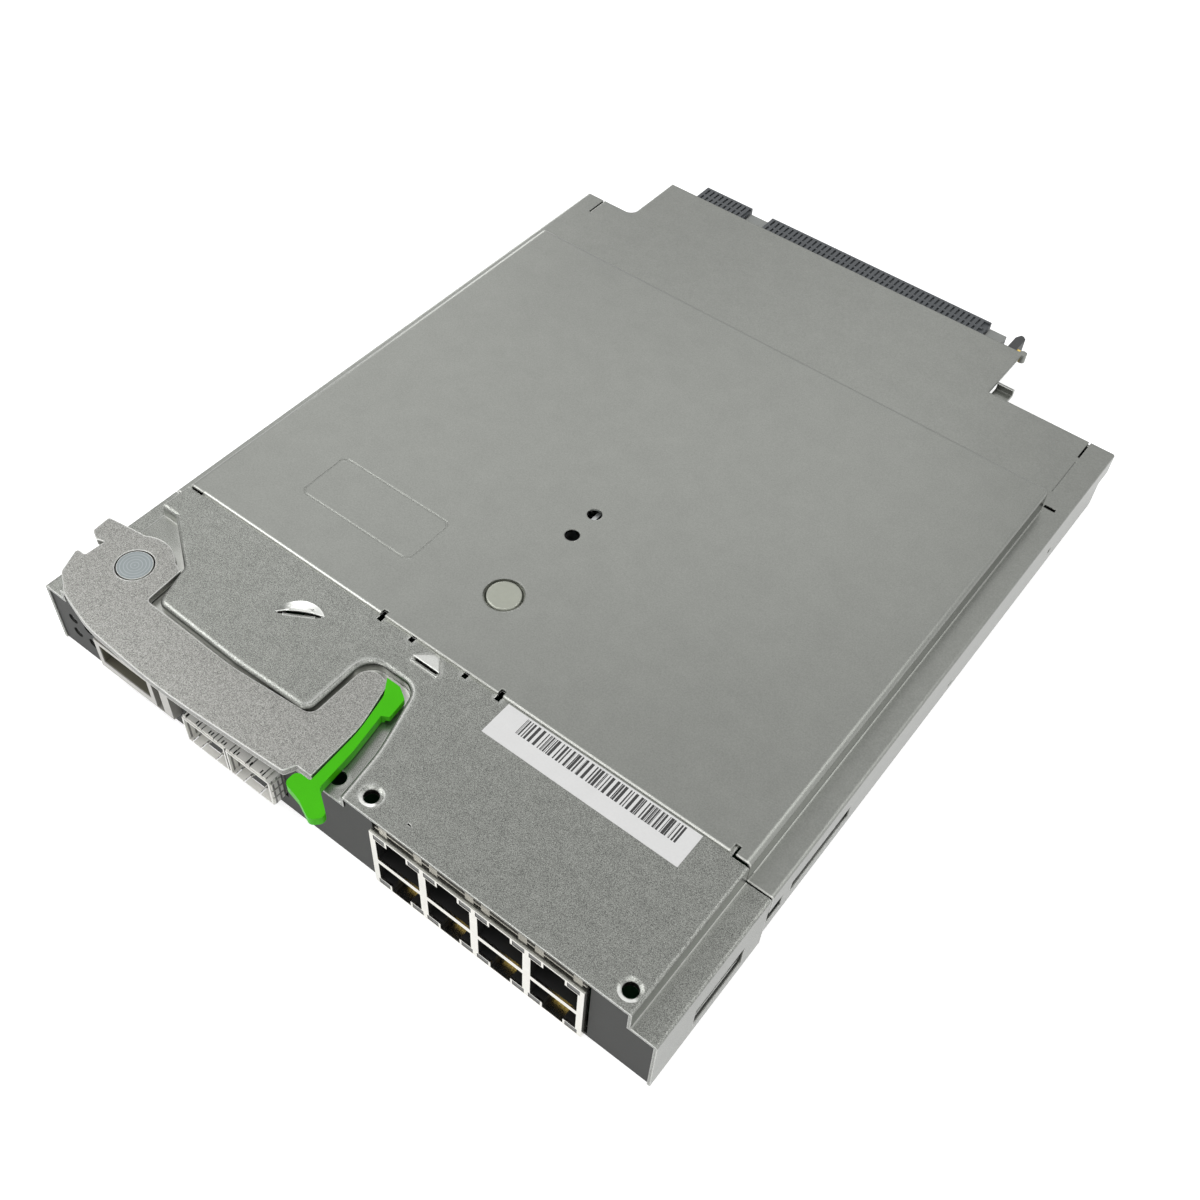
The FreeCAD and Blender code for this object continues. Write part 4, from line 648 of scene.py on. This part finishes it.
def step_bend(name, side, start, end):
    """A hollow round strip in the corner between a step and its ledge."""
    shape = bmesh.new()
    rings = []
    for along in (start, end):
        rings.append([shape.verts.new((side * across, along, up)) for across, up in bend_outline()])
    first, last = rings
    count = len(first)
    for index in range(count):
        following = (index + 1) % count
        shape.faces.new((first[index], first[following], last[following], last[index]))
    for ring in rings:
        shape.faces.new(ring)
    bmesh.ops.recalc_face_normals(shape, faces=shape.faces)
    strip = piece(name, shape, bend_steel)
    strip.data.shade_smooth()
    strip.data.set_sharp_from_angle(angle=BEND_SHARP)
    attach(strip, "chassis")


case_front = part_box("front_cover")[0].y
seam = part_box("rear_cover")[0].y
plateau_end = case_front + CASE_DEPTH - PLATEAU_BACK - PLATEAU_CORNER
for hand, side in (("left", -1), ("right", 1)):
    step_bend(f"front_bend_{hand}", side, case_front + FRONT_SETBACK, seam - SEAM_GAP)
    step_bend(f"rear_bend_{hand}", side, seam + SEAM_SLOT, plateau_end)


# Cross bars that divide the rear plugs' slots into two rows
BAR_WIDTH = 1.0 * MM
BAR_HIGH = 0.9 * MM
BAR_SETBACK = 4.3 * MM
BAR_SINK = 0.05 * MM
BAR_BEVEL = 0.1 * MM


def plug_bar(plug):
    """A bevelled bar across a rear plug, just under its top."""
    low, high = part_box(plug)
    top = high.z - BAR_SINK
    middle = Vector(((low.x + high.x) / 2, high.y - BAR_SETBACK, top - BAR_HIGH / 2))
    size = (high.x - low.x - 2 * BAR_WIDTH, BAR_WIDTH, BAR_HIGH)
    shape = bmesh.new()
    bmesh.ops.create_cube(shape, matrix=Matrix.LocRotScale(middle, None, size))
    bmesh.ops.bevel(shape, geom=shape.edges[:], offset=BAR_BEVEL, segments=2, affect="EDGES")
    bar = piece(plug + "_bar", shape, finishes["plug_slate"])
    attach(bar, "chassis")


for plug in ("connector_small", "connector_large"):
    plug_bar(plug)


# Floor and surroundings
FLOOR_SIZE = 6
FLOOR_DROP = 0.2 * MM
FLOOR_GRAIN = 30
FLOOR_DARK = (0.80, 0.80, 0.80)
FLOOR_LIGHT = (0.82, 0.82, 0.82)
FLOOR_GLOW = 0.6
SKY_SEEN = 1.0
SKY_LIT = 0.28
WHITE = (1, 1, 1, 1)


def floor():
    """A pale floor that takes the shadow and looks white to the camera."""
    bpy.ops.mesh.primitive_plane_add(size=FLOOR_SIZE, location=(0, 0, -FLOOR_DROP))
    ground = bpy.context.object
    ground.name = "floor"
    material, tree, output = named("floor_white")
    place = node(tree, "TexCoord").outputs["Object"]
    shader = node(tree, "BsdfDiffuse")
    colors = ramp(tree, grain(tree, place, FLOOR_GRAIN), FLOOR_DARK, FLOOR_LIGHT)
    tree.links.new(colors, shader.inputs["Color"])
    glow = node(tree, "Emission")
    path = node(tree, "LightPath")
    seen = sums(tree, "MAXIMUM", path.outputs["Is Camera Ray"], path.outputs["Is Glossy Ray"])
    tree.links.new(product(tree, seen, FLOOR_GLOW), glow.inputs["Strength"])
    both = node(tree, "AddShader")
    tree.links.new(shader.outputs["BSDF"], both.inputs[0])
    tree.links.new(glow.outputs["Emission"], both.inputs[1])
    tree.links.new(both.outputs["Shader"], output.inputs["Surface"])
    ground.data.materials.append(material)


def sky():
    """White where it is seen or reflected, and softer where it lights."""
    world = bpy.data.worlds.new("studio")
    scene.world = world
    world.use_nodes = True
    tree = world.node_tree
    tree.nodes.clear()
    output = node(tree, "OutputWorld")
    seen = node(tree, "Background", strength=SKY_SEEN)
    lit = node(tree, "Background", strength=SKY_LIT)
    for background in (seen, lit):
        background.inputs["Color"].default_value = WHITE
    path = node(tree, "LightPath")
    mirrored = sums(tree, "MAXIMUM", path.outputs["Is Glossy Ray"], path.outputs["Is Transmission Ray"])
    pick = node(tree, "MixShader")
    tree.links.new(sums(tree, "MAXIMUM", path.outputs["Is Camera Ray"], mirrored), pick.inputs["Fac"])
    tree.links.new(lit.outputs["Background"], pick.inputs[1])
    tree.links.new(seen.outputs["Background"], pick.inputs[2])
    tree.links.new(pick.outputs["Shader"], output.inputs["Surface"])


# Lamps: name, place, aim, width and height in metres, power in watts
LAMPS = (
    ("top", (0.24, -0.36, 0.78), (0, 0, 0), 0.55, 0.55, 2.0),
    ("left", (-0.57, -0.41, 0.75), (0, -0.41, 0), 0.87, 0.35, 4.0),
    ("front", (-0.10, -0.95, 0.25), (0, 0, 0), 0.5, 0.5, 1.6),
    ("rear", (-0.45, 0.53, 0.72), (-0.03, 0.05, 0), 0.9, 0.34, 0.50),
    ("low", (-0.80, 0.64, 0.30), (-0.03, 0, 0), 0.36, 0.36, 1.4),
    ("right", (0.44, 0.40, 0.78), (0.44, -0.05, 0), 0.5, 0.35, 1.2),
    ("side", (0.95, 0.15, 0.30), (0, 0, 0), 0.9, 0.9, 1.2),
)


def lamp(name, place, aim, width, height, power):
    """A soft lamp that points at a place."""
    light = bpy.data.lights.new(name, "AREA")
    light.shape = "RECTANGLE"
    light.size = width
    light.size_y = height
    light.energy = power
    holder = bpy.data.objects.new(name, light)
    scene.collection.objects.link(holder)
    holder.location = place
    holder.rotation_euler = (Vector(aim) - Vector(place)).to_track_quat("-Z", "Y").to_euler()


# Camera: place in metres, directions of its own axes, sensor and lens in millimetres
CAMERA_PLACE = (0.14384, -0.21447, 0.29993)
CAMERA_RIGHT = (0.79104, 0.60995, 0.04702)
CAMERA_UP = (-0.49658, 0.59532, 0.63167)
CAMERA_BACK = (0.35730, -0.52303, 0.77381)
SENSOR_WIDTH = 36.0
LENS = 41.90
NEAREST_SEEN = 0.01


def camera():
    """A camera at the photograph's viewing angle."""
    data = bpy.data.cameras.new("camera")
    data.sensor_width = SENSOR_WIDTH
    data.lens = LENS
    data.clip_start = NEAREST_SEEN
    view = bpy.data.objects.new("camera", data)
    scene.collection.objects.link(view)
    turn = Matrix((CAMERA_RIGHT, CAMERA_UP, CAMERA_BACK)).transposed().to_4x4()
    view.matrix_world = Matrix.Translation(CAMERA_PLACE) @ turn
    scene.camera = view


floor()
sky()
for settings in LAMPS:
    lamp(*settings)
camera()
